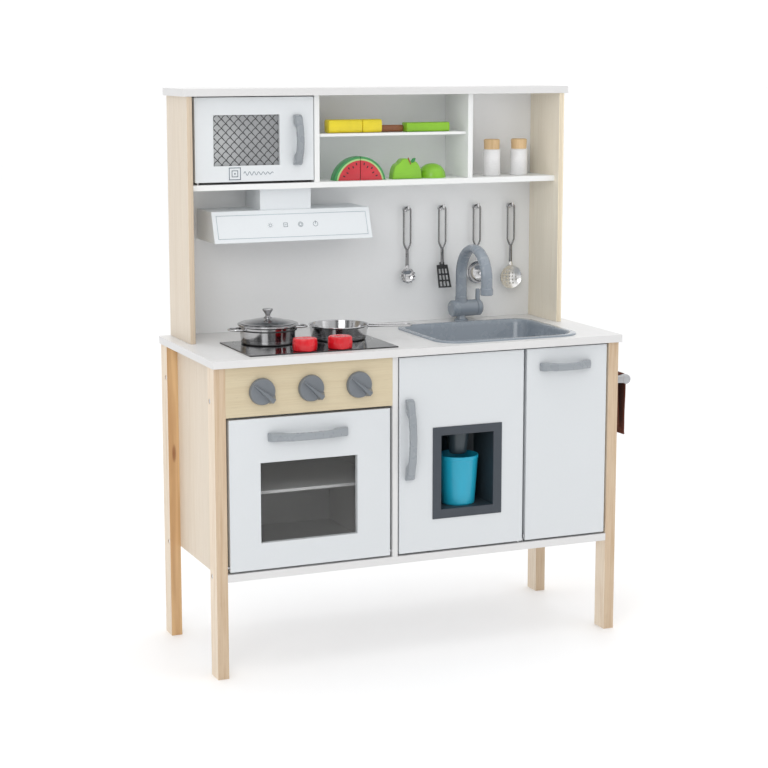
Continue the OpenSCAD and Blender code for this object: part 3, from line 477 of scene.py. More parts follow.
def place(shape, at, turn=Matrix.Identity(4)):
    return moved(shape, Matrix.Translation(Vector(at)) @ turn)


def taken(mesh):
    """A bmesh as a shape; the bmesh is freed."""
    mesh.verts.index_update()
    shape = ([v.co.copy() for v in mesh.verts],
             [tuple(v.index for v in f.verts) for f in mesh.faces], None)
    mesh.free()
    return shape


def bevel(mesh, edges, offset, segments=3):
    bmesh.ops.bevel(mesh, geom=edges, offset=offset, segments=segments, profile=0.5,
                    affect="EDGES", clamp_overlap=True)


def rounded(profile, steps=5):
    """A polyline whose corners are rounded. Each point is (a, b) or (a, b, radius)."""
    result = []
    for i, point in enumerate(profile):
        here = Vector(point[:2])
        corner = len(point) > 2 and 0 < i < len(profile) - 1
        if corner:
            before = Vector(profile[i - 1][:2]) - here
            after = Vector(profile[i + 1][:2]) - here
            angle = before.angle(after)
        if not corner or angle > math.pi - 0.02:
            result.append(tuple(here))
            continue
        reach = min(point[2] / math.tan(angle / 2), before.length * 0.49, after.length * 0.49)
        start, end = here + before.normalized() * reach, here + after.normalized() * reach
        for t in steps_of(steps):
            result.append(tuple(start * (1 - t) ** 2 + here * 2 * t * (1 - t) + end * t ** 2))
    return result


def loft(rings, cap_start=True, cap_end=True, closed=False):
    """Joins rings of equally many points into one skin."""
    count, rows = len(rings[0]), len(rings)
    points = [Vector(p) for ring in rings for p in ring]
    uvs = [(k / count, i / max(1, rows - 1)) for i in range(rows) for k in range(count)]
    faces = []
    for i in range(rows if closed else rows - 1):
        j = (i + 1) % rows
        for k in range(count):
            m = (k + 1) % count
            faces.append((i * count + k, i * count + m, j * count + m, j * count + k))
    if cap_start and not closed:
        faces.append(tuple(reversed(range(count))))
    if cap_end and not closed:
        faces.append(tuple(range((rows - 1) * count, rows * count)))
    return points, faces, uvs


def lathe(profile, segments=72):
    """Turns a profile of (radius, height) about the z axis; radius 0 makes a pole."""
    points, uvs, rows, faces, run = [], [], [], [], 0.0
    for i, (radius, height) in enumerate(profile):
        run += (Vector(profile[i]) - Vector(profile[i - 1])).length if i else 0.0
        row = []
        for k, angle in enumerate(circle(segments)[:1 if radius < 1e-4 else segments]):
            row.append(len(points))
            points.append(Vector((radius * math.cos(angle), radius * math.sin(angle), height)))
            uvs.append((k / segments, run / 100))
        rows.append(row)
    for a, b in zip(rows, rows[1:]):
        for k in range(segments):
            m = (k + 1) % segments
            face = tuple(dict.fromkeys((a[k % len(a)], a[m % len(a)], b[m % len(b)],
                                        b[k % len(b)])))
            if len(face) > 2:
                faces.append(face)
    return points, faces, uvs


def turned(profile, segments=72, steps=5):
    return lathe(rounded(profile, steps), segments)


def cylinder(radius, z0, z1, segments=32):
    return lathe([(0, z0), (radius, z0), (radius, z1), (0, z1)], segments)


def sweep(path, section, closed=False, up=None):
    """Carries a section along a path. section(t) gives (side, up) offsets at t in 0..1."""
    path = [Vector(p) for p in path]
    count = len(path)
    tangents = []
    for i in range(count):
        a = path[(i - 1) % count] if closed or i else path[0]
        b = path[(i + 1) % count] if closed or i < count - 1 else path[-1]
        tangents.append((b - a).normalized())
    normal = Vector(up) if up else tangents[0].orthogonal().normalized()
    rings = []
    for i, (point, tangent) in enumerate(zip(path, tangents)):
        normal = (normal - tangent * normal.dot(tangent)).normalized()
        side = tangent.cross(normal)
        rings.append([point + side * s + normal * v for s, v in section(i / max(1, count - 1))])
    return loft(rings, closed=closed)


def tube(path, radius, closed=False, count=12):
    ring = [(radius * math.cos(t), radius * math.sin(t)) for t in circle(count)]
    return sweep(path, lambda t: ring, closed)


def oval_ring(width, height, power=2.0, count=32):
    """Points of a rounded outline; a higher power is squarer."""
    return [tuple(size / 2 * math.copysign(abs(c) ** (2 / power), c)
                  for size, c in ((width, math.cos(t)), (height, math.sin(t))))
            for t in circle(count)]


def round_rect(x0, y0, x1, y1, radius, steps=8):
    """A rectangle with round corners in the xy plane, anticlockwise."""
    radius = max(radius, 0.01)
    ring = []
    for cx, cy, start in ((x1 - radius, y1 - radius, 0), (x0 + radius, y1 - radius, 90),
                          (x0 + radius, y0 + radius, 180), (x1 - radius, y0 + radius, 270)):
        for angle in steps_of(steps, start, start + 90):
            a = math.radians(angle)
            ring.append((cx + radius * math.cos(a), cy + radius * math.sin(a)))
    return ring


def slab(outline, z0, z1, edge, steps=3):
    """A flat piece with this xy outline (convex or nearly so) and rounded upper and
    lower edges."""
    outline = [Vector(p) for p in outline]
    centre = sum(outline, Vector((0, 0))) / len(outline)

    def inset(amount, z):
        ring = []
        for i, p in enumerate(outline):
            run = outline[(i + 1) % len(outline)] - outline[i - 1]
            normal = Vector((run.y, -run.x)).normalized()
            if normal.dot(p - centre) < 0:
                normal = -normal
            ring.append((*(p - normal * amount), z))
        return ring

    quarter = [(1 - math.sin(a), 1 - math.cos(a)) for a in steps_of(steps, 0, math.pi / 2)]
    return loft([inset(edge * s, z0 + edge * c) for s, c in quarter]
                + [inset(edge * c, z1 - edge * s) for s, c in quarter])


def rounded_box(a, b, edge, segments=3):
    """A box between two corners with rounded edges."""
    a, b = Vector(a), Vector(b)
    mesh = bmesh.new()
    bmesh.ops.create_cube(mesh, size=1.0)
    for v in mesh.verts:
        v.co = Vector([(a[i] + b[i]) / 2 + v.co[i] * (b[i] - a[i]) for i in range(3)])
    bevel(mesh, list(mesh.edges), edge, segments)
    return taken(mesh)


# ---------------------------------------------------------------- pieces

def added(name, data):
    obj = bpy.data.objects.new(name, data)
    bpy.context.collection.objects.link(obj)
    return obj


def piece(name, shape, body, material, stands_for=None, flat=30.0):
    """Makes an object that rides on a body. Edges sharper than flat degrees stay sharp."""
    mesh = bpy.data.meshes.new(name)
    mesh.from_pydata([tuple(p * MM) for p in shape[0]], [], shape[1])
    layer = mesh.uv_layers.new(name="UVMap")
    if shape[2]:
        for loop in mesh.loops:
            layer.data[loop.index].uv = shape[2][loop.vertex_index]
    clean = bmesh.new()
    clean.from_mesh(mesh)
    bmesh.ops.remove_doubles(clean, verts=clean.verts, dist=1e-6)
    bmesh.ops.recalc_face_normals(clean, faces=clean.faces)
    for edge in clean.edges:
        edge.smooth = len(edge.link_faces) == 2 and edge.calc_face_angle(0) < math.radians(flat)
    clean.to_mesh(mesh)
    clean.free()
    mesh.polygons.foreach_set("use_smooth", [True] * len(mesh.polygons))
    mesh.materials.append(MAT[material])
    obj = added(name, mesh)
    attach(obj, body)
    if stands_for:
        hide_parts(stands_for)
    return obj


def modifier(obj, name, kind, **settings):
    made = obj.modifiers.new(name, kind)
    for key, value in settings.items():
        setattr(made, key, value)


def keep(node, material, edge, segments=3):
    """Keeps a CAD node, with a material and lightly rounded edges."""
    obj = frame["nodes"][node]
    obj.data.materials.clear()
    obj.data.materials.append(MAT[material])
    modifier(obj, "weld", "WELD", merge_threshold=1e-5)
    modifier(obj, "merge_flat_faces", "DECIMATE", decimate_type="DISSOLVE",
             angle_limit=math.radians(1))
    modifier(obj, "round_edges", "BEVEL", width=edge * MM, segments=segments,
             limit_method="ANGLE", angle_limit=math.radians(40), harden_normals=False)
    modifier(obj, "even_normals", "WEIGHTED_NORMAL", keep_sharp=False, weight=80)


for material, edge, segments, nodes in (
        ("pine", 1.5, 4, "leg_front_left leg_front_right leg_rear_right"),
        ("pine_heart", 1.5, 4, "leg_rear_left"),
        ("birch_ply", 0.6, 3, "side_panel_left side_panel_right upper_side_left"),
        # painted light: the lighter copy of the birch plywood
        ("birch_ply_painted_lit", 0.6, 3, "upper_side_right"),
        ("birch_ply_across", 0.6, 3, "control_panel"),
        ("white_top_lacquer", 0.7, 3, "bottom_board centre_divider right_divider"),
        # painted light: the lighter white copy inside the shelves
        ("white_lit_inside", 0.7, 3, "oven_shelf upper_shelf upper_divider_left "
                                   "upper_divider_right middle_shelf"),
        ("white_top_lacquer", 1.4, 4, "worktop top_board"),
        ("white_lacquer", 0.8, 3, "oven_door fridge_door dishwasher_door"),
        # painted light: the lighter white copy on the microwave door
        ("white_lacquer_lit_upper", 0.8, 3, "microwave_door"),
        # painted light: the lighter white copy on the back panels
        ("white_lit_back", 0.4, 3, "lower_back_panel upper_back_panel"),
        ("smoked_pane", 0.3, 3, "oven_window"),
        ("mesh_pane", 0.3, 3, "microwave_window"),
        ("hob_black", 0.7, 3, "hob_plate"),
        ("zinc_steel", 0.5, 3, "frame_bolts"),
        ("zinc_steel", 0.25, 3, "hinge_hardware"),
        ("dispenser_grey", 0.8, 3, "dispenser_housing"),
        ("hood_lacquer", 1.0, 4, "range_hood")):
    for node in nodes.split():
        keep(node, material, edge, segments)


# ---------------------------------------------------------------- handles and knobs

def bow_handle(body):
    """A handle whose bar bows out between two solid feet, wider at the feet."""
    node = body + "_handle"
    a, b = ends(node)
    size = b - a
    upright = size.z > size.x
    half, width = (size.z / 2, size.x) if upright else (size.x / 2, size.z)
    end_rise, bar, foot, blend = 10, 8, 20 if half >= 50 else 13, 10
    bow = size.y - end_rise
    radius = (half * half + bow * bow) / (2 * bow)
    rings = []
    for angle in steps_of(72, 0, math.pi):
        u = -math.cos(angle) * half * 0.9995
        arc = math.sqrt(radius ** 2 - u ** 2) - (radius - size.y)
        from_end = half - abs(u)
        lift = math.sqrt(max(0.0, 1 - (1 - min(1.0, from_end / 5)) ** 2))
        outer = 1.5 + (arc - 1.5) * max(lift, 0.04)
        t = min(1.0, max(0.0, (from_end - foot) / blend))
        inner = min((arc - bar) * (t * t * (3 - 2 * t)), outer - 1)
        waist = 1 - 0.13 * (1 - (u / half) ** 2) ** 1.5
        ring = oval_ring(width * waist * (0.86 + 0.14 * lift), outer - inner, 3.2, 28)
        rings.append([(u, (outer + inner) / 2 + up, side) for side, up in ring])
    first, last = ((1, 0, 0, 0), (0, 0, 1, 0))[::-1 if upright else 1]
    turn = Matrix((first, (0, -1, 0, 0), last, (0, 0, 0, 1)))
    piece(node + "_look", place(loft(rings), ((a.x + b.x) / 2, b.y, (a.z + b.z) / 2), turn),
          body, "handle_grey", node, flat=60)


def knob(name):
    """A round skirt with a spindle behind it and a wedge-shaped pointer on its front."""
    node = "knob_" + name
    at = pivot(name + "_knob_turn")
    skirt_r, gap, skirt, tall = 21, 0.6, 8, at.y - low(node).y
    disc = turned([(0, gap), (skirt_r - 1, gap), (skirt_r, gap + 1.2), (skirt_r - 1.2, skirt, 2.2),
                   (skirt_r - 6, skirt + 0.6), (0, skirt + 0.9)], 96)
    wedge = bmesh.new()
    base, narrow, wide = gap + 1.5, -19.5, 21.6
    corners = [(narrow, -1.6, base), (wide, -8.4, base), (wide, 7.6, base), (narrow, 1.6, base),
               (narrow + 1.5, -0.5, tall - 5), (wide - 0.5, -5.2, tall), (wide - 0.5, 1.2, tall),
               (narrow + 1.5, 0.5, tall - 5)]
    verts = [wedge.verts.new(c) for c in corners]
    for face in BOX_FACES:
        wedge.faces.new([verts[i] for i in face])
    bevel(wedge, list(wedge.edges), 0.7)
    pointer = moved(taken(wedge), Matrix.Rotation(math.radians(-38), 4, "Z"))
    shape = combine(disc, cylinder(3, -12, gap + 1), pointer)
    piece(node + "_look", place(shape, at, TO_FRONT), name + "_knob", "knob_grey",
          node)


for body in ("oven", "fridge", "dishwasher", "microwave"):
    bow_handle(body)
for which in ("left", "centre", "right"):
    knob(which)


# ---------------------------------------------------------------- sink and tap

def sink():
    a, b = ends("sink_basin")
    centre, floor, rim = (a + b) / 2, a.z, b.z
    top = low("worktop").z + 12
    lip, corner, drain_r = 11, 40, 14

    def ring(inset, z):
        outline = round_rect(a.x + inset, a.y + inset, b.x - inset, b.y - inset,
                             corner - inset * 0.5, 10)
        return [(x, y, z) for x, y in outline]

    rings = [ring(i, z) for i, z in (
        (0.0, top), (0.0, rim - 1.6), (0.6, rim - 0.6), (1.8, rim), (lip - 3.4, rim - 0.1),
        (lip - 1.4, rim - 0.8), (lip - 0.2, rim - 2.4), (lip + 1.2, rim - 8),
        (lip + 3.2, floor + 12), (lip + 4.6, floor + 6.5), (lip + 7.5, floor + 3.6),
        (lip + 12, floor + 2.6), (lip + 22, floor + 2.4))]
    angles = [math.atan2(p[1] - centre.y, p[0] - centre.x) for p in rings[-1]]
    for r, z in ((drain_r + 3, 2.3), (drain_r, 2.0), (drain_r - 1.5, 0.9), (2, 0.8)):
        rings.append([(centre.x + r * math.cos(t), centre.y + r * math.sin(t), floor + z)
                      for t in angles])
    outside = [ring(i, z) for i, z in (
        (lip - 2.5, top), (lip - 2.5, top - 4), (lip - 1.5, floor + 8), (lip + 1, floor + 2),
        (lip + 6, floor))]
    piece("sink", combine(loft(rings, cap_start=False), loft(outside, cap_start=False),
                          loft([rings[0], outside[0]], cap_start=False, cap_end=False)),
          "frame", "sink_grey", "sink_basin", flat=50)
    base = Vector((centre.x, centre.y, floor + 1.1))
    spokes = []
    for angle in circle(6):
        tip = Vector((math.cos(angle), math.sin(angle), 0)) * (drain_r - 3.4)
        spokes.append(tube([base + tip * 0.42, base + tip * 0.7, base + tip], 0.9))
    hub = turned([(0, 0), (3, 0), (3, 1.2, 0.5), (0, 1.4)], 32)
    piece("sink_strainer", combine(place(hub, base - Vector((0, 0, 0.2))), *spokes), "frame",
          "groove_dark")


def tap():
    seat, top = low("tap_body").z, high("tap_lever").z
    split = low("tap_lever").x - 0.5
    axis, post = pivot("lever_turn"), pivot("spout_swivel")
    x0, x1 = low("tap_body").x, high("tap_lever").x
    radius = (high("tap_body").y - low("tap_body").y) / 2
    neck_h, barrel_l, ring_w = 17, split - x0, x1 - (split + 0.5)
    stem = turned([(0, 0), (12.5, 0), (12.5, 2.2, 1), (9, 4, 2), (8, 7), (8, axis.z - seat),
                   (0, axis.z - seat)], 64)
    barrel = turned([(0, 0.6), (radius - 3.0, 0.6, 0.3), (radius - 2.4, 0, 0.3),
                     (radius - 1.6, 0, 0.4), (radius, 1.8, 0.7), (radius, barrel_l, 0.5),
                     (radius - 1.2, barrel_l + 0.01), (0, barrel_l)], 96)
    neck = turned([(0, 0), (11.4, 0), (10.6, neck_h - 1, 1), (10.2, neck_h), (0, neck_h)])
    piece("tap_base", combine(
        place(stem, (post.x, post.y, seat)), place(barrel, (x0, axis.y, axis.z), TO_RIGHT),
        place(cylinder(5, 0, 7), (split - 1, axis.y, axis.z), TO_RIGHT),
        place(neck, (post.x, post.y, axis.z))), "frame", "sink_grey", "tap_body")

    ring = turned([(0, 0), (radius - 1, 0), (radius, 0.8), (radius, ring_w - 3.4, 1),
                   (radius - 3.4, ring_w, 0.8), (0, ring_w)], 96)
    blade = loft([[(split + 4.5 + u, axis.y + v, axis.z + (top - axis.z) * t)
                   for u, v in oval_ring(width, depth, 3.4, 28)]
                  for t, width, depth in ((0, 7.4, 8.2), (0.45, 7.2, 7.6), (0.85, 7.4, 7.2),
                                          (0.97, 6.8, 6.4), (1, 5.2, 4.8))])
    piece("tap_lever_look", combine(place(ring, (split + 0.5, axis.y, axis.z), TO_RIGHT), blade),
          "lever", "sink_grey", "tap_lever")

    sleeve_r, riser_low, spout_low = 10.8, axis.z + neck_h, high("worktop").z + 56
    reach = (post.y - low("tap_spout").y - sleeve_r) / 2
    arch, end_y = high("tap_spout").z - 7 - reach, post.y - 2 * reach
    path = [(post.x, post.y, riser_low + 0.3 + (arch - riser_low) * t) for t in steps_of(8)[:-1]]
    path += [(post.x, post.y - reach + reach * math.cos(t), arch + reach * math.sin(t))
             for t in steps_of(32, 0, math.pi)]
    path += [(post.x, end_y, arch - (arch - spout_low - 11) * t) for t in steps_of(4)[1:]]
    bend = sweep(path, lambda t: oval_ring(14, 20, 2.3, 40), up=(1, 0, 0))
    sleeve = turned([(0, 5), (6.5, 5), (6.8, 0.4), (sleeve_r - 1, 0), (sleeve_r, 0.9),
                     (sleeve_r, 11, 1), (sleeve_r - 1.6, 12), (0, 12)])
    collar = turned([(0, 0), (10.5, 0), (10.4, 2.4, 0.8), (9.4, 4.6), (0, 4.6)])
    piece("tap_spout_look", combine(bend, place(sleeve, (post.x, end_y, spout_low)),
                                    place(collar, (post.x, post.y, riser_low + 0.3))),
          "spout", "sink_grey", "tap_spout")


sink()
tap()


# ---------------------------------------------------------------- cookware

def wire_loop(start, length, width, height):
    """A wire handle that leaves a vessel at two points and meets in a round bend."""
    half, stub, radius = width / 2, 2, 1.6
    straight = length - half
    side = [(start + x, half, height) for x in [0] + steps_of(8, stub, straight)]
    bend = [(start + straight + half * math.cos(t), half * math.sin(t), height)
            for t in steps_of(24, -math.pi / 2, math.pi / 2)[1:-1]]
    return tube([(x, -y, z) for x, y, z in side] + bend + side[::-1], radius, count=16)


def vessel(base_r, rim_r, tall, lip, wall=1.2):
    """A thin pressed vessel with a rolled rim, standing on z = 0."""
    return turned([
        (0, 0.3), (base_r - 8, 0.3), (base_r - 6, 0), (base_r, 0, 3.4), (rim_r, tall - 3.2, 0.8),
        (rim_r + lip, tall - 1.4, 0.5), (rim_r + lip, tall, 0.5), (rim_r - wall, tall - 0.4, 0.8),
        (base_r - wall, wall, 3.0), (0, wall)], 128, 6)


def pot():
    a, b = ends("pot_body")
    lid_a, lid_b = ends("pot_lid")
    centre, tall, rim = foot_of("pot_body"), b.z - a.z, (lid_b.x - lid_a.x) / 2
    wall_r = rim - 3.5
    start = wall_r - 1.2
    tab = turned([(0, 0), (3.4, 0), (3.4, 1.2, 0.5), (0, 1.6)], 24)
    tab_x = math.sqrt((wall_r - 0.6) ** 2 - 13 ** 2) - 0.4
    side = combine(wire_loop(start, (b.x - a.x) / 2 - 1.6 - start, 26, tall - 6),
                   *(place(tab, (tab_x, y, tall - 6), TO_RIGHT) for y in (13, -13)))
    piece("pot_look", place(combine(vessel(wall_r - 2, wall_r, tall, 3), side,
                                    moved(side, Matrix.Rotation(math.pi, 4, "Z"))), centre),
          "pot", "turned_steel", "pot_body")
    band = turned([(wall_r - 0.2, 0), (wall_r + 1.5, 0.1), (wall_r + 1.5, 1.5),
                   (wall_r - 0.2, 1.6)], 128)
    piece("pot_gasket", place(band, centre + Vector((0, 0, tall - 8.6))), "pot",
          "gasket_black")

    height = lid_b.z - lid_a.z
    dome = height - 15
    ball = (wall_r ** 2 + dome ** 2) / (2 * dome)
    top = [(r, math.sqrt(ball ** 2 - r ** 2) - (ball - dome))
           for r in [wall_r * math.sin(t) for t in steps_of(20, 0, math.pi / 2)]]
    lid = lathe([(r, z - 1.2) for r, z in top[:-2]]
                + [(wall_r - 1.6, 0.2), (wall_r, 0), (rim - 0.6, 0), (rim, 0.5),
                   (rim - 0.3, 1.2), (wall_r + 0.6, 1.5), (wall_r - 0.6, 2.3)]
                + [(r, max(z, 2.6)) for r, z in reversed(top[:-1])], 128)
    base = dome - 0.6
    grip = turned([
        (0, base - 1), (7, base - 1, 0.5), (6.6, base + 1.2, 0.6), (3.6, base + 3.2, 1.4),
        (4.2, base + 7, 2.2), (8.6, height - 2.0, 0.8), (8.6, height - 1.0, 0.5),
        (7.6, height - 0.2, 0.5), (0, height)], 64, 6)
    # the lid takes the darker steel copy: painted reflection
    piece("pot_lid_look", place(combine(lid, grip), (centre.x, centre.y, lid_a.z)), "lid",
          "lid_steel_painted_dark", "pot_lid")


def pan():
    a, b = ends("frying_pan")
    rim, tall, reach = (b.y - a.y) / 2, b.z - a.z, 118.4
    handle = wire_loop(rim - 2.4, reach - rim + 2.4, 20, tall - 3)
    tab = rounded_box((-1.2, -3, -2.6), (0.8, 3, 2.6), 0.6)
    tabs = [place(tab, (rim - 3.6, y, tall - 4)) for y in (10, -10)]
    piece("pan_look", place(combine(vessel(rim - 5, rim - 1.6, tall, 1.6), handle, *tabs),
                            (a.x + rim, (a.y + b.y) / 2, a.z),
                            Matrix.Rotation(math.radians(-18), 4, "Z")),
          "pan", "turned_steel", "frying_pan")


def red_pieces():
    """Two lobed pieces of toy vegetable with a dimple on top."""
    a, b = ends("hob_food")
    radius, tall = (b.y - a.y) / 2, b.z - a.z
    profile = rounded([(0.55, 0.0), (0.95, 0.0, 0.10), (0.985, 0.5, 0.25), (0.94, 1.0, 0.14),
                       (0.45, 0.975, 0.2), (0.12, 0.94)])

    def point(r, z, angle, index):
        c, s = math.cos(angle), math.sin(angle)
        lobes = 1 - 0.055 * abs(math.sin(2.5 * angle + 0.6 + index)) ** 0.7
        bumps = 0.012 * noise.noise(Vector((c * 3, s * 3, z * 3 + index * 5)))
        out = radius * r * (lobes + bumps)
        return out * c, out * s * 0.98, tall * z

    shapes = [place(loft([[point(r, z, angle, index) for angle in circle(96)]
                          for r, z in profile]), (x, (a.y + b.y) / 2, a.z))
              for index, x in enumerate((a.x + radius, b.x - radius))]
    piece("red_food", combine(*shapes), "hob_pieces", "food_red", "hob_food", flat=45)


pot()
pan()
red_pieces()


# ---------------------------------------------------------------- water dispenser and cup

def dispenser():
    """A black liner on the recess's walls, open to the front, and the nozzle over the cup."""
    a, b = ends("dispenser_housing")
    flange, wall = 15, 0.25
    x0, x1, z0, z1 = a.x + flange, b.x - flange, a.z + flange, b.z - flange + 1
    back, front = b.y - 2.5, a.y + 4
    rings = [[(x, y, z) for x, z in round_rect(x0 + inset, z0 + inset, x1 - inset, z1 - inset,
                                               2.2, 4)]
             for inset, y in ((wall, front), (wall, back - 3), (wall + 1, back - 1),
                              (wall + 3, back - wall))]
    piece("dispenser_liner", loft(rings, cap_start=False), "fridge",
          "recess_black")
    a, b = ends("dispenser_nozzle")
    top_r, tall = (b.x - a.x) / 2, b.z - a.z
    nozzle = turned([(0, 3), (11, 3), (11.6, 0.2), (13.4, 0, 0.4), (14.4, 2.4, 1),
                     (top_r - 0.8, tall - 3, 1), (top_r, tall), (0, tall)])
    piece("nozzle_look", place(nozzle, foot_of("dispenser_nozzle")), "fridge",
          "nozzle_grey", "dispenser_nozzle")


def cup():
    a, b = ends("cup")
    rim, tall, wall = (b.x - a.x) / 2, b.z - a.z, 1.8
    base = rim - 6
    shape = turned([
        (0, 1.2), (base - 5, 1.2), (base - 4, 0), (base - 1, 0, 0.8), (base + 0.2, 2.2, 1.2),
        (rim - 0.9, tall - 7), (rim - 0.5, tall - 6, 0.6), (rim, tall - 5.6, 0.4),
        (rim, tall - 0.6, 0.8), (rim - 0.9, tall, 0.7), (rim - wall, tall - 0.8, 0.8),
        (base - wall, 4, 2.4), (0, 3.2)], 128, 6)
    piece("cup_look", place(shape, foot_of("cup")), "cup_body", "cup_blue", "cup")


dispenser()
cup()


# ---------------------------------------------------------------- printed marks

def hood_prints():
    """A thin border and four generic symbols on the hood's leaning front."""
    a, b = ends("range_hood")
    duct, slope = 35, 18
    tall, width = b.z - a.z - duct, b.x - a.x
    lean = math.atan2(slope, tall)
    up = Vector((0, math.sin(lean), math.cos(lean)))
    out = Vector((0, -math.cos(lean), math.sin(lean)))
    face_h = tall / math.cos(lean)

    def on_face(u, v, lift=0.0):
        return a + Vector((u, 0, 0)) + up * v + out * lift

    def strip(u0, v0, u1, v1):
        corners = [on_face(u, v, lift) for lift in (-0.3, 0.15)
                   for u, v in ((u0, v0), (u1, v0), (u1, v1), (u0, v1))]
        return corners, BOX_FACES, None

    def box_lines(u0, v0, u1, v1, line):
        return [strip(u0, v0, u1, v0 + line), strip(u0, v1 - line, u1, v1),
                strip(u0, v0, u0 + line, v1), strip(u1 - line, v0, u1, v1)]

    def ring(u, radius):
        return tube([on_face(u + radius * math.cos(t), middle + radius * math.sin(t))
                     for t in circle(32)], 0.35, closed=True, count=8)

    inset = 7
    border = box_lines(inset, inset, width - inset, face_h - inset, 0.8)
    piece("hood_border", combine(*border), "frame", "print_pale")
    middle, spacing, first, size = face_h * 0.52, 26, 97.5, 4.2
    sun, plate, fan, power = (first + spacing * k for k in range(4))
    marks = [ring(sun, size * 0.55)]
    marks += [strip(u - 0.35, v - 0.35, u + 0.35, v + 0.35)
              for u, v in [(sun + size * math.cos(t), middle + size * math.sin(t))
                           for t in circle(8)]]
    w = size * 0.85
    marks += box_lines(plate - w, middle - w, plate + w, middle + w, 0.7)
    marks.append(strip(plate - w / 2, middle - 0.4, plate + w / 2, middle + 0.4))
    marks += [ring(fan, size * 0.55), ring(fan, size * 0.95), ring(power, size * 0.95),
              strip(power - 0.4, middle, power + 0.4, middle + size * 1.3)]
    piece("hood_marks", combine(*marks), "frame", "print_grey")


def microwave_badge():
    """A plain generic mark at the door's lower left: two nested squares and a wavy stroke."""
    a = low("microwave_door")
    corner, size = a + Vector((56, 0, 3)), 20

    def strip(x0, z0, x1, z1):
        return rounded_box(corner + Vector((x0, -0.2, z0)), corner + Vector((x1, 0.3, z1)), 0.05, 1)

    def square(near, line):
        far = size - near
        return [strip(near, near, far, near + line), strip(near, far - line, far, far),
                strip(near, near, near + line, far), strip(far - line, near, far, far)]

    wave = [corner + Vector((size + 5 + 50 * t, 0.1,
                             size / 2 + (3.2 - 1.6 * t) * math.sin(TURN * 6.5 * t)))
            for t in steps_of(120)]
    section = [(0.45, 0.3), (-0.45, 0.3), (-0.45, -0.3), (0.45, -0.3)]
    stroke = sweep(wave, lambda t: section, up=(0, -1, 0))
    piece("microwave_mark", combine(*square(0, 1.3), *square(4.6, 1.2),
                                    strip(8.8, 8.8, 11.2, 11.2), stroke),
          "microwave", "print_grey")


hood_prints()
microwave_badge()


# ---------------------------------------------------------------- utensils

HANGING = [pivot(name + "_swing") for name in ("spoon", "turner", "ladle", "skimmer")]


def utensil_handle(name, index, body, shaft_end, stands_for=None):
    """A wire loop round the hook that narrows to a flat shaft."""
    hook = HANGING[index]
    half, low_z, join_z, gather = 6.4, -57, -69, 1.1
    arc = high("pasta_spoon").z - HANGING[0].z - 1.4 - half
    side = [(-half, 0, z) for z in steps_of(6, arc, low_z)[1:]]
    side += [(-half + (half - gather) * t ** 1.3, 0, low_z - (low_z - join_z) * t)
             for t in steps_of(5)[1:]]
    side.append((-gather, 0, join_z - 6))
    bend = [(half * math.cos(t), 0, arc + half * math.sin(t)) for t in steps_of(24, 0, math.pi)]
    wire = tube([(-x, y, z) for x, y, z in side[::-1]] + bend + side, 1.5, count=14)
    rings, top = [], join_z + 1
    for t in (0, 0.04, 0.5, 0.96, 1):
        squeeze = 0.75 if t in (0, 1) else 1
        rings.append([(u * squeeze, v * squeeze, top + (shaft_end - top) * t)
                      for u, v in oval_ring(5.2 * (1 + 0.12 * t), 2.8, 3.0, 20)])
    # the wire and shaft take the dark steel copy: painted reflection
    piece(name + "_handle", place(combine(wire, loft(rings)), hook), body,
          "wire_steel_painted_dark", stands_for, flat=50)


def bowl(half, depth, wall=1.1, steps=14):
    """A shallow round bowl open to the front, centred on the origin."""
    ball = (half * half + depth * depth) / (2 * depth)
    outer = [(r, math.sqrt(max(ball ** 2 - r ** 2, 0)) - (ball - depth))
             for r in [half * math.sin(t) for t in steps_of(steps, 0, math.pi / 2)]]
    inner = [(r * (1 - wall / half), z - wall * (1 if k < steps else 0.2))
             for k, (r, z) in enumerate(outer)]
    return moved(lathe(outer + inner[::-1], 64), TO_BACK)


def neck(points, wide, narrow):
    """A flat strip from a head up to its shaft, narrowing on the way."""
    return sweep(points, lambda t: oval_ring(wide * (1 - t) + narrow * t, 1.8, 2.6, 16),
                 up=(0, 1, 0))


def pasta_spoon():
    """A small open bowl with claws around its edge."""
    hook, radius, centre_z = HANGING[0], 13, -113
    at = hook + Vector((0, -2, centre_z))
    utensil_handle("pasta_spoon", 0, "spoon", centre_z + radius - 1, "pasta_spoon")
    parts = [place(bowl(radius, 5), at)]
    for angle in steps_of(8, math.radians(-200), math.radians(20)):
        outward = Vector((math.cos(angle), 0, math.sin(angle)))
        root = outward * (radius - 0.8)
        tip = root * 0.97 + Vector((0, -6.4, 0))
        path = [at + root + Vector((0, 0.6, 0)), at + (root + tip) / 2 + outward, at + tip]
        parts.append(sweep(path, lambda t: oval_ring(2.8 * (1 - 0.45 * t), 1.1, 2.5, 12),
                           up=outward))
    parts.append(neck([at + Vector((0, 0.5, radius - 4)), at + Vector((0, 0.6, radius + 1)),
                       hook + Vector((0, 0, centre_z + radius + 6))], 9, 4))
    piece("pasta_spoon_bowl", combine(*parts), "spoon", "turned_steel", flat=50)


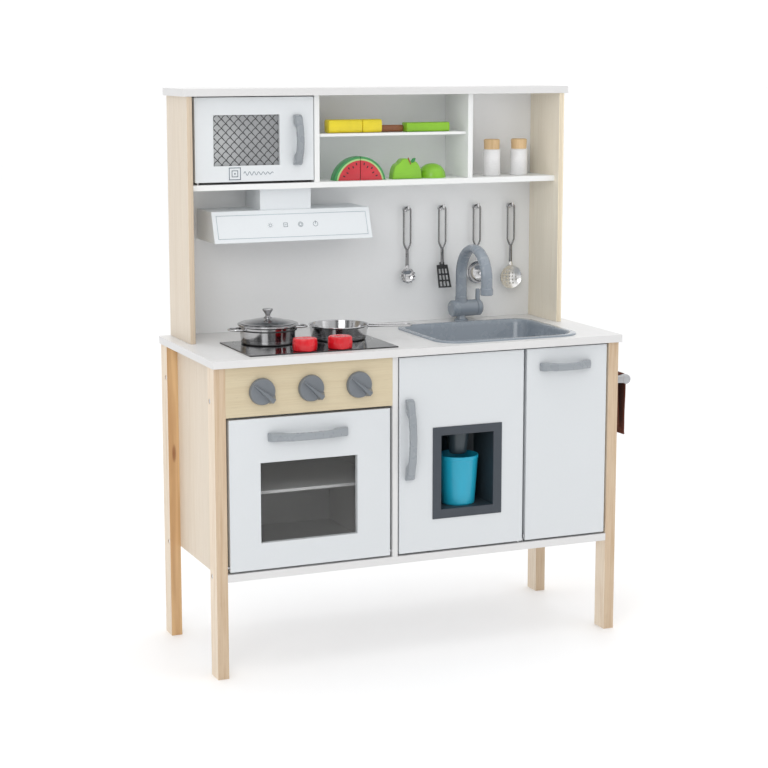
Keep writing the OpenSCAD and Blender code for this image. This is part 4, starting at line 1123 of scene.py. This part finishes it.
def turner():
    """A slotted black head, wider at its tip, that leans out from the wall."""
    top, tilt = -98, math.radians(19)
    utensil_handle("turner", 1, "turner", top - 3)
    widths = (3.2, 3.9, 2.4, 3.9, 2.4, 3.9, 3.2)
    heights = (7.0, 8.2, 3.0, 8.2, 3.0, 8.2, 2.6)
    xs = [sum(widths[:k]) - sum(widths) / 2 for k in range(len(widths) + 1)]
    zs = [sum(heights[:k]) for k in range(len(heights) + 1)]
    head = bmesh.new()
    grid = [[head.verts.new((x * (0.90 + 0.15 * z / zs[-1]), 0, -z)) for x in xs] for z in zs]
    for i in range(len(heights)):
        for j in range(len(widths)):
            if i % 2 == 0 or j % 2 == 0:
                head.faces.new((grid[i][j], grid[i][j + 1], grid[i + 1][j + 1], grid[i + 1][j]))
    extruded = bmesh.ops.extrude_face_region(head, geom=list(head.faces))
    for v in [g for g in extruded["geom"] if isinstance(g, bmesh.types.BMVert)]:
        v.co.y -= 2.0
    bmesh.ops.recalc_face_normals(head, faces=head.faces)
    bevel(head, [e for e in head.edges if len(e.link_faces) == 2
                 and e.calc_face_angle(0) > math.radians(50)], 0.6)
    shape = combine(taken(head), rounded_box((-4.2, -3.0, -7), (4.2, 0.9, 5), 1.2))
    piece("turner_head", place(shape, HANGING[1] + Vector((0, 1.2, top)),
                               Matrix.Rotation(-tilt, 4, "X")),
          "turner", "tool_black", "slotted_turner", flat=45)


def ladle():
    hook, radius, centre_z = HANGING[2], 20, -112
    at = hook + Vector((0, -4, centre_z))
    utensil_handle("ladle", 2, "ladle_body", centre_z + radius + 6, "ladle")
    stem = neck([at + Vector((0, 0.6, radius - 1.6)), at + Vector((0, 0.4, radius + 2.5)),
                 hook + Vector((0, -1, centre_z + radius + 6)),
                 hook + Vector((0, 0, centre_z + radius + 12))], 8, 4.4)
    piece("ladle_bowl", combine(place(bowl(radius, 12), at), stem), "ladle_body",
          "turned_steel", flat=50)


def skimmer_disc(radius, depth):
    """A pressed disc with real round holes: a grid of square cells, each with its hole
    cut as a ring of points, and then rings out to the round rim."""
    ball = (radius ** 2 + depth ** 2) / (2 * depth)
    pitch, hole, inner = 6.0, 1.7, radius * 0.80
    count = int(radius / pitch) + 1
    angles = circle(16, math.pi / 4)
    sheet, made = bmesh.new(), {}

    def vertex(x, z):
        key = (round(x, 4), round(z, 4))
        if key not in made:
            r2 = min(x * x + z * z, radius ** 2)
            made[key] = sheet.verts.new((x, math.sqrt(ball ** 2 - r2) - (ball - depth), z))
        return made[key]

    def ring_faces(first, second):
        for k in range(len(first)):
            m = (k + 1) % len(first)
            sheet.faces.new([first[k], first[m], second[m], second[k]])

    for i in range(-count, count + 1):
        for j in range(-count, count + 1):
            cx, cz = i * pitch, j * pitch
            border = [(cx + math.cos(t) * s, cz + math.sin(t) * s) for t, s in
                      [(t, pitch / 2 / max(abs(math.cos(t)), abs(math.sin(t)))) for t in angles]]
            if max(math.hypot(x, z) for x, z in border) > inner + pitch * 0.45:
                continue
            border = [vertex(x, z) for x, z in border]
            if math.hypot(cx, cz) < inner - 1:
                ring_faces(border, [vertex(cx + hole * math.cos(t), cz + hole * math.sin(t))
                                    for t in angles])
            else:
                sheet.faces.new(border)
    links = {}
    for e in sheet.edges:
        far = max(math.hypot(v.co.x, v.co.z) for v in e.verts) > inner * 0.8
        if len(e.link_faces) == 1 and far and e.calc_length() > hole * 0.45:
            for v in e.verts:
                links.setdefault(v, []).append(e)
    here = max(links, key=lambda v: v.co.x)
    order, seen = [], set()
    while here not in order:
        order.append(here)
        step = next(e for e in links[here] if e not in seen)
        seen.add(step)
        here = step.other_vert(here)
    previous = order
    for ratio in (0.93, 0.985, 1.0):
        reach = radius * ratio
        height = math.sqrt(ball ** 2 - reach ** 2) - (ball - depth)
        around = [math.atan2(v.co.z, v.co.x) for v in order]
        current = [sheet.verts.new((reach * math.cos(t), height, reach * math.sin(t)))
                   for t in around]
        ring_faces(previous, current)
        previous = current
    bmesh.ops.recalc_face_normals(sheet, faces=sheet.faces)
    bmesh.ops.solidify(sheet, geom=list(sheet.faces), thickness=1.0)
    return taken(sheet)


def skimmer():
    hook, radius, centre_z = HANGING[3], 21, -124
    at = hook + Vector((0, -2.5, centre_z))
    utensil_handle("skimmer", 3, "skimmer_body", centre_z + radius + 3, "skimmer")
    stem = neck([at + Vector((0, 0.8, radius - 2)), at + Vector((0, 0.6, radius + 2)),
                 hook + Vector((0, 0, centre_z + radius + 7))], 8, 4.4)
    # the head takes the bright steel copy: painted reflection
    piece("skimmer_head", combine(place(skimmer_disc(radius, 7), at), stem), "skimmer_body",
          "bowl_steel_painted_bright", flat=50)


def hooks():
    a, b = ends("utensil_hooks")
    back, corner = b.y, 2.4
    end = a.y + 2
    parts = []
    for hook in HANGING:
        plate = turned([(0, 0), (5, 0), (5, 1.4, 0.8), (3.8, 3, 1), (0, 3)], 48)
        path = [(hook.x, y, hook.z) for y in (back - 1, (back + end) / 2, end + corner)]
        path += [(hook.x, end + corner - corner * math.sin(t),
                  hook.z + corner - corner * math.cos(t))
                 for t in steps_of(6, 0, math.pi / 2)[1:-1]]
        path += [(hook.x, end, hook.z + rise) for rise in (corner, 7.4)]
        parts += [place(plate, (hook.x, back, hook.z), TO_FRONT), tube(path, 1.9, count=16)]
    piece("hooks_look", combine(*parts), "frame", "hook_steel", "utensil_hooks",
          flat=50)


pasta_spoon()
turner()
ladle()
skimmer()
hooks()


# ---------------------------------------------------------------- shakers and play food

def shaker(side):
    node, body = "shaker_" + side, side + "_shaker"
    a, b = ends(node)
    radius, tall = (b.x - a.x) / 2, b.z - a.z
    shoulder = tall - 17
    glass = turned([(0, 0), (radius - 1, 0, 0.8), (radius, 1), (radius, shoulder - 1.4, 1.4),
                    (radius - 1.6, shoulder, 0.6), (0, shoulder)], 96)
    cap = turned([(0, shoulder - 1), (radius - 2.4, shoulder - 1),
                  (radius - 1.6, shoulder + 0.6, 0.4), (radius - 1, tall - 1.4, 1.2),
                  (radius - 2.8, tall, 0.8), (0, tall)], 96)
    for part, shape, slot, material, stands_for in (
            ("body", glass, "shaker_white", "shaker_white", node),
            ("cap", cap, "food_yellow", "cap_wood", None)):
        piece("shaker_%s_%s" % (part, side), place(shape, foot_of(node)), body, material,
              stands_for)


def middle_food():
    """A yellow block in two slices, and a toy knife with a brown handle and green blade."""
    a, b = ends("middle_shelf_food")
    front, body = a.y + 12, "middle_food"

    def bar(x0, x1, y, width, tall, edge, power=5):
        """A rounded bar along x with a gently crowned top."""
        return loft([[(x, y + u, a.z + tall / 2 + v)
                      for u, v in oval_ring(width - inset, tall - inset, power, 40)]
                     for x, inset in ((x0, edge), (x0 + edge * 0.3, edge * 0.3), (x0 + edge, 0),
                                      (x1 - edge, 0), (x1 - edge * 0.3, edge * 0.3), (x1, edge))])

    slices = [bar(a.x + x0, a.x + x1, front, 23, 22, 2.2) for x0, x1 in ((0, 59), (60, 94))]
    piece("yellow_slices", combine(*slices), body, "food_yellow",
          "middle_shelf_food", flat=45)
    disc = turned([(0, 0), (7.5, 0), (7.5, 1.0, 0.3), (0, 1.0)], 40)
    piece("yellow_join", place(disc, (a.x + 59, front, a.z + 11), TO_RIGHT), body,
          "groove_dark")
    piece("toy_blade", bar(b.x - 78, b.x, front, 22, 15.6, 1.8, 7), body,
          "food_green", flat=45)
    piece("toy_grip", bar(a.x + 96, b.x - 79, front + 8, 12, 11.5, 1.6, 3.2), body,
          "handle_brown", flat=45)


def melon(at, front, thick, floor):
    """Two quarters of a slice, split upright, with layers of rind and a ring of seeds."""
    radius, cut, gap = 46, 7, 0.5
    centre_x = at + math.sqrt(radius ** 2 - cut ** 2) + 0.6

    def quarter(side, r, y0, y1, edge, raised=0.0):
        """An arc from the split down to the shelf."""
        outline = [(side * gap, raised)]
        outline += [(side * max(gap, r * math.sin(t)), r * math.cos(t) - cut)
                    for t in steps_of(28, 0, math.pi / 2 - math.asin(cut / r))]
        outline = [(x, max(z, raised)) for x, z in outline][::-side]
        return place(slab(outline, 0, y1 - y0, edge), (centre_x, y1, floor), TO_FRONT)

    def seed(side, k):
        t, r = math.radians(13 + 14.5 * k), 27.5 if k % 2 else 30.5
        x, z = centre_x + side * r * math.sin(t), floor + r * math.cos(t) - cut * 0.4
        return place(rounded_box((-1.0, -0.35, -1.9), (1.0, 0.35, 1.9), 0.3), (x, front, z),
                     Matrix.Rotation(side * t, 4, "Y"))

    for name, material, stands_for, *layer in (
            ("melon_rind", "rind_green", "upper_shelf_food", radius, front + 0.6, front + thick,
             0.7),
            ("melon_edge", "rind_pale", None, radius - 3.6, front + 0.3, front + 3, 0.12, 0.2),
            ("melon_flesh", "melon_red", None, radius - 6.4, front, front + 3, 0.12, 0.2)):
        piece(name, combine(*(quarter(side, *layer) for side in (-1, 1))), "upper_food",
              material, stands_for, flat=40)
    piece("melon_seeds", combine(*(seed(side, k) for side in (-1, 1) for k in range(5))),
          "upper_food", "seed_black")
    return centre_x


def apple(x, y, floor):
    """Half an apple lying on its cut side, with a bump, a stalk and a leaf."""
    def dip(u, centre, width, depth):
        return depth * math.exp(-((u - centre) / width) ** 2)

    outline = []
    for t in steps_of(60, 0, math.pi):
        u, z = 25.5 * math.cos(t) * 1.02, 34 * math.sin(t) ** 0.82
        outline.append((u, max(0.0, z - dip(u, 7, 5, 5) - dip(u, -15, 4, 3))))
    piece("apple_half", place(slab(outline, 0, 20, 2.2, 5), (x, y + 20, floor), TO_FRONT),
          "upper_food", "apple_green", flat=50)
    at = Vector((x + 4, y - 0.1, floor + 29))
    stalk = tube([at + Vector(p) for p in ((-3.5, 0.2, 6), (-2, 0, 2), (0.5, 0, -3),
                                           (1.2, 0.2, -5))], 1.1)
    piece("apple_stalk", stalk, "upper_food", "handle_brown")
    leaf = slab([(0, 0), (1.8, 2.4), (5, 4), (8.6, 3.6), (10.6, 1.8), (8.4, -1.2), (4.6, -2.6),
                 (1.6, -1.8)], 0, 1.2, 0.35)
    piece("apple_leaf", place(moved(leaf, TO_FRONT), at + Vector((1.5, 0.5, -1.5)),
                              Matrix.Rotation(math.radians(-28), 4, "Y")),
          "upper_food", "leaf_green", flat=50)


def green_dome(at, radius=23.6):
    rings = []
    for t in steps_of(15, 0, math.pi / 2)[1:]:
        height = radius * (1 - (1 - math.cos(t)) ** 1.12)
        rings.append([(r * math.cos(q), r * math.sin(q), height) for r, q in [
            (radius * math.sin(t) * (0.97 + 0.03 * abs(math.cos(2 * q))), q)
            for q in circle(64)]])
    piece("green_dome", place(loft(rings), at), "upper_food", "apple_green",
          flat=50)


def upper_food():
    a, b = ends("upper_shelf_food")
    front = a.y + 4
    melon_x = melon(a.x, front, 20, a.z)
    apple(melon_x + 86, front + 2, a.z)
    green_dome((b.x - 24, (a.y + b.y) / 2 + 2, a.z))


shaker("left")
shaker("right")
middle_food()
upper_food()


# ---------------------------------------------------------------- towel rail and towel

def rail():
    a, b = ends("towel_rail")
    centre_x, z, width = b.x - 8, (a.z + b.z) / 2, 12
    cap = turned([(0, 0), (6.6, 0, 0.6), (8, 1.4, 0.8), (8, width - 1.4, 0.8),
                  (6.6, width, 0.6), (0, width)], 64)
    parts = []
    for y in (a.y, b.y - width):
        arm = loft([[(a.x + 2 + (centre_x - 4 - a.x - 2) * t, y + width / 2 + u, z + v)
                     for u, v in oval_ring(width - 1, 13 - 1.6 * math.sin(math.pi * t), 4.0, 28)]
                    for t in steps_of(14)])
        parts += [rounded_box((a.x, y, z - 14), (a.x + 3, y + width, z + 14), 1.2), arm,
                  place(cap, (centre_x, y, z), TO_BACK)]
    bar = cylinder(6, 0, b.y - a.y - 4, 64)
    parts.append(place(bar, (centre_x, a.y + 2, z), TO_BACK))
    piece("rail_look", combine(*parts), "frame", "rail_grey", "towel_rail", flat=40)


def towel():
    """A strip of cotton over the bar: tight round it, then hanging with soft waves."""
    a, b = ends("towel")
    rail_a, rail_b = ends("towel_rail")
    bar_x, bar_z = rail_b.x - 8, (rail_a.z + rail_b.z) / 2
    thick, across, steps = 2.4, 56, 110
    bend_r = 6.1 + thick / 2 + 0.2
    y0, y1 = a.y + 1, b.y - 1
    front_drop, back_drop, arc = bar_z - a.z, bar_z - a.z - 14, math.pi * bend_r
    length = front_drop + arc + back_drop
    points, uvs = [], []

    def centre_line(run):
        """Distance along the towel to (x, z, how far it hangs below the bar, which side)."""
        if run < front_drop:
            return bar_x + bend_r, bar_z - (front_drop - run), front_drop - run, 1
        if run < front_drop + arc:
            angle = (run - front_drop) / bend_r
            return bar_x + bend_r * math.cos(angle), bar_z + bend_r * math.sin(angle), 0, 0
        below = run - front_drop - arc
        return bar_x - bend_r, bar_z - below, below, -1

    for run in steps_of(steps, 0, length):
        x, z, below, side = centre_line(run)
        loose = min(1.0, below / 60) ** 1.4
        inward = -2.2 if side > 0 else 2.0
        for v in steps_of(across):
            wave = (0.9 * math.sin(TURN * (v * 2.1 + 0.15))
                    + 0.5 * math.sin(TURN * (v * 4.7 + 0.4 * side))
                    + 0.45 * noise.noise(Vector((v * 5, z * 0.022, side * 3.0))))
            dx = (wave * 0.8 + inward) * loose
            dy = 0.5 * noise.noise(Vector((z * 0.040, v * 3, 2.0 + side)))
            dz = 1.2 * noise.noise(Vector((v * 3.1, side * 7.0, 0.4))) * (below > front_drop * 0.8)
            points.append(Vector((x + dx, y0 + (y1 - y0) * v + dy, z + dz)))
            uvs.append((v * (y1 - y0) * MM, run * MM))
    row = across + 1
    faces = [(k, k + 1, k + row + 1, k + row)
             for i in range(steps) for k in range(i * row, i * row + across)]
    cloth = piece("towel_cloth", (points, faces, uvs), "frame", "towel_cotton",
                  "towel", flat=80)
    modifier(cloth, "cloth_thickness", "SOLIDIFY", thickness=thick * MM, offset=0)
    modifier(cloth, "soft_edge", "BEVEL", width=0.9 * MM, segments=2, limit_method="ANGLE",
             angle_limit=math.radians(60))
    for name, line in (("front", points[:row]), ("back", points[-row:])):
        hem = tube([p + Vector((0, 0, 2.0)) for p in line], 1.5, count=10)
        piece("towel_hem_" + name, hem, "frame", "towel_cotton")


rail()
towel()


# ---------------------------------------------------------------- floor, light and camera

def stage():
    """A wide pale floor that runs on to the horizon."""
    reach = 60.0
    mesh = bpy.data.meshes.new("floor")
    mesh.from_pydata([(x, y, 0) for x, y in ((-reach, -reach), (reach, -reach), (reach, reach),
                                             (-reach, reach))], [], [(0, 1, 2, 3)])
    mesh.materials.append(MAT["studio_floor"])
    added("floor", mesh)


def area_light(name, at, target, size, power):
    data = bpy.data.lights.new(name, "AREA")
    data.shape = "RECTANGLE"
    data.size, data.size_y = size
    data.energy = power
    light = added(name, data)
    light.location = at
    light.rotation_euler = (Vector(target) - Vector(at)).to_track_quat("-Z", "Y").to_euler()


def studio_world():
    """White studio walls: bright overhead and behind the object, dimmer in front of it,
    with a few dark upright gaps that give polished metal its contrast."""
    world = bpy.data.worlds.new("studio")
    bpy.context.scene.world = world
    world.use_nodes = True
    sky = world.node_tree.nodes["Background"]
    n = Nodes("studio", world.node_tree)
    direction = n.places["Generated"]
    y, z = n.axes(direction)["Y"], n.axes(direction)["Z"]
    depth = n.add("ShaderNodeMapRange", {"Value": y, "From Min": -1.0}).outputs[0]
    walls = n.ramp(depth, (0.0, 0.56), (0.35, 0.60), (0.62, 0.82), (0.72, 1.0))
    around = n.add("ShaderNodeTexGradient", {"Vector": direction}, gradient_type="RADIAL")
    gaps = n.ramp(around.outputs["Fac"], (0.00, 1.0), (0.055, 1.0), (0.075, 0.15), (0.095, 0.15),
                  (0.12, 1.0), (0.155, 1.0), (0.175, 0.10), (0.215, 0.12), (0.235, 1.0),
                  (0.30, 1.0), (0.33, 0.2), (0.36, 0.95), (0.50, 1.0), (0.86, 1.0),
                  (0.90, 0.12), (0.94, 0.10), (0.97, 0.9))
    height = n.ramp(z, (0.0, 0.0), (0.30, 0.10), (0.75, 1.0))
    sides = n.mix(1.0, walls, gaps, "MULTIPLY")
    n.put(sky.inputs["Color"], n.mix(height, sides, (1.0, 1.0, 1.0)))
    sky.inputs["Strength"].default_value = 1.12


def lighting():
    studio_world()
    area_light("key", (-1.8, -2.5, 1.8), (0, 0, 0.6), (1.3, 1.3), 18)
    area_light("fill", (1.7, -2.5, 1.3), (0, 0, 0.5), (1.5, 1.5), 4)
    area_light("top", (0.0, -0.2, 3.0), (0, 0.2, 0), (2.4, 2.0), 8)


def camera():
    """The photograph's view: from the left and a little above, with a long lens."""
    yaw, pitch = 0.4012, 0.1621
    corner = low("leg_front_left") * MM
    data = bpy.data.cameras.new("camera")
    data.sensor_width, data.lens, data.shift_y, data.clip_end = 36, 89.28, -0.03, 50
    cam = added("camera", data)
    cam.location = Vector((corner.x, corner.y, 0)) + Vector((-0.87066, -2.71058, 0.96565))
    forward = Vector((math.sin(yaw) * math.cos(pitch), math.cos(yaw) * math.cos(pitch),
                      -math.sin(pitch)))
    cam.rotation_euler = forward.to_track_quat("-Z", "Y").to_euler()
    bpy.context.scene.camera = cam
    bpy.context.scene.view_settings.view_transform = "Standard"


stage()
lighting()
camera()
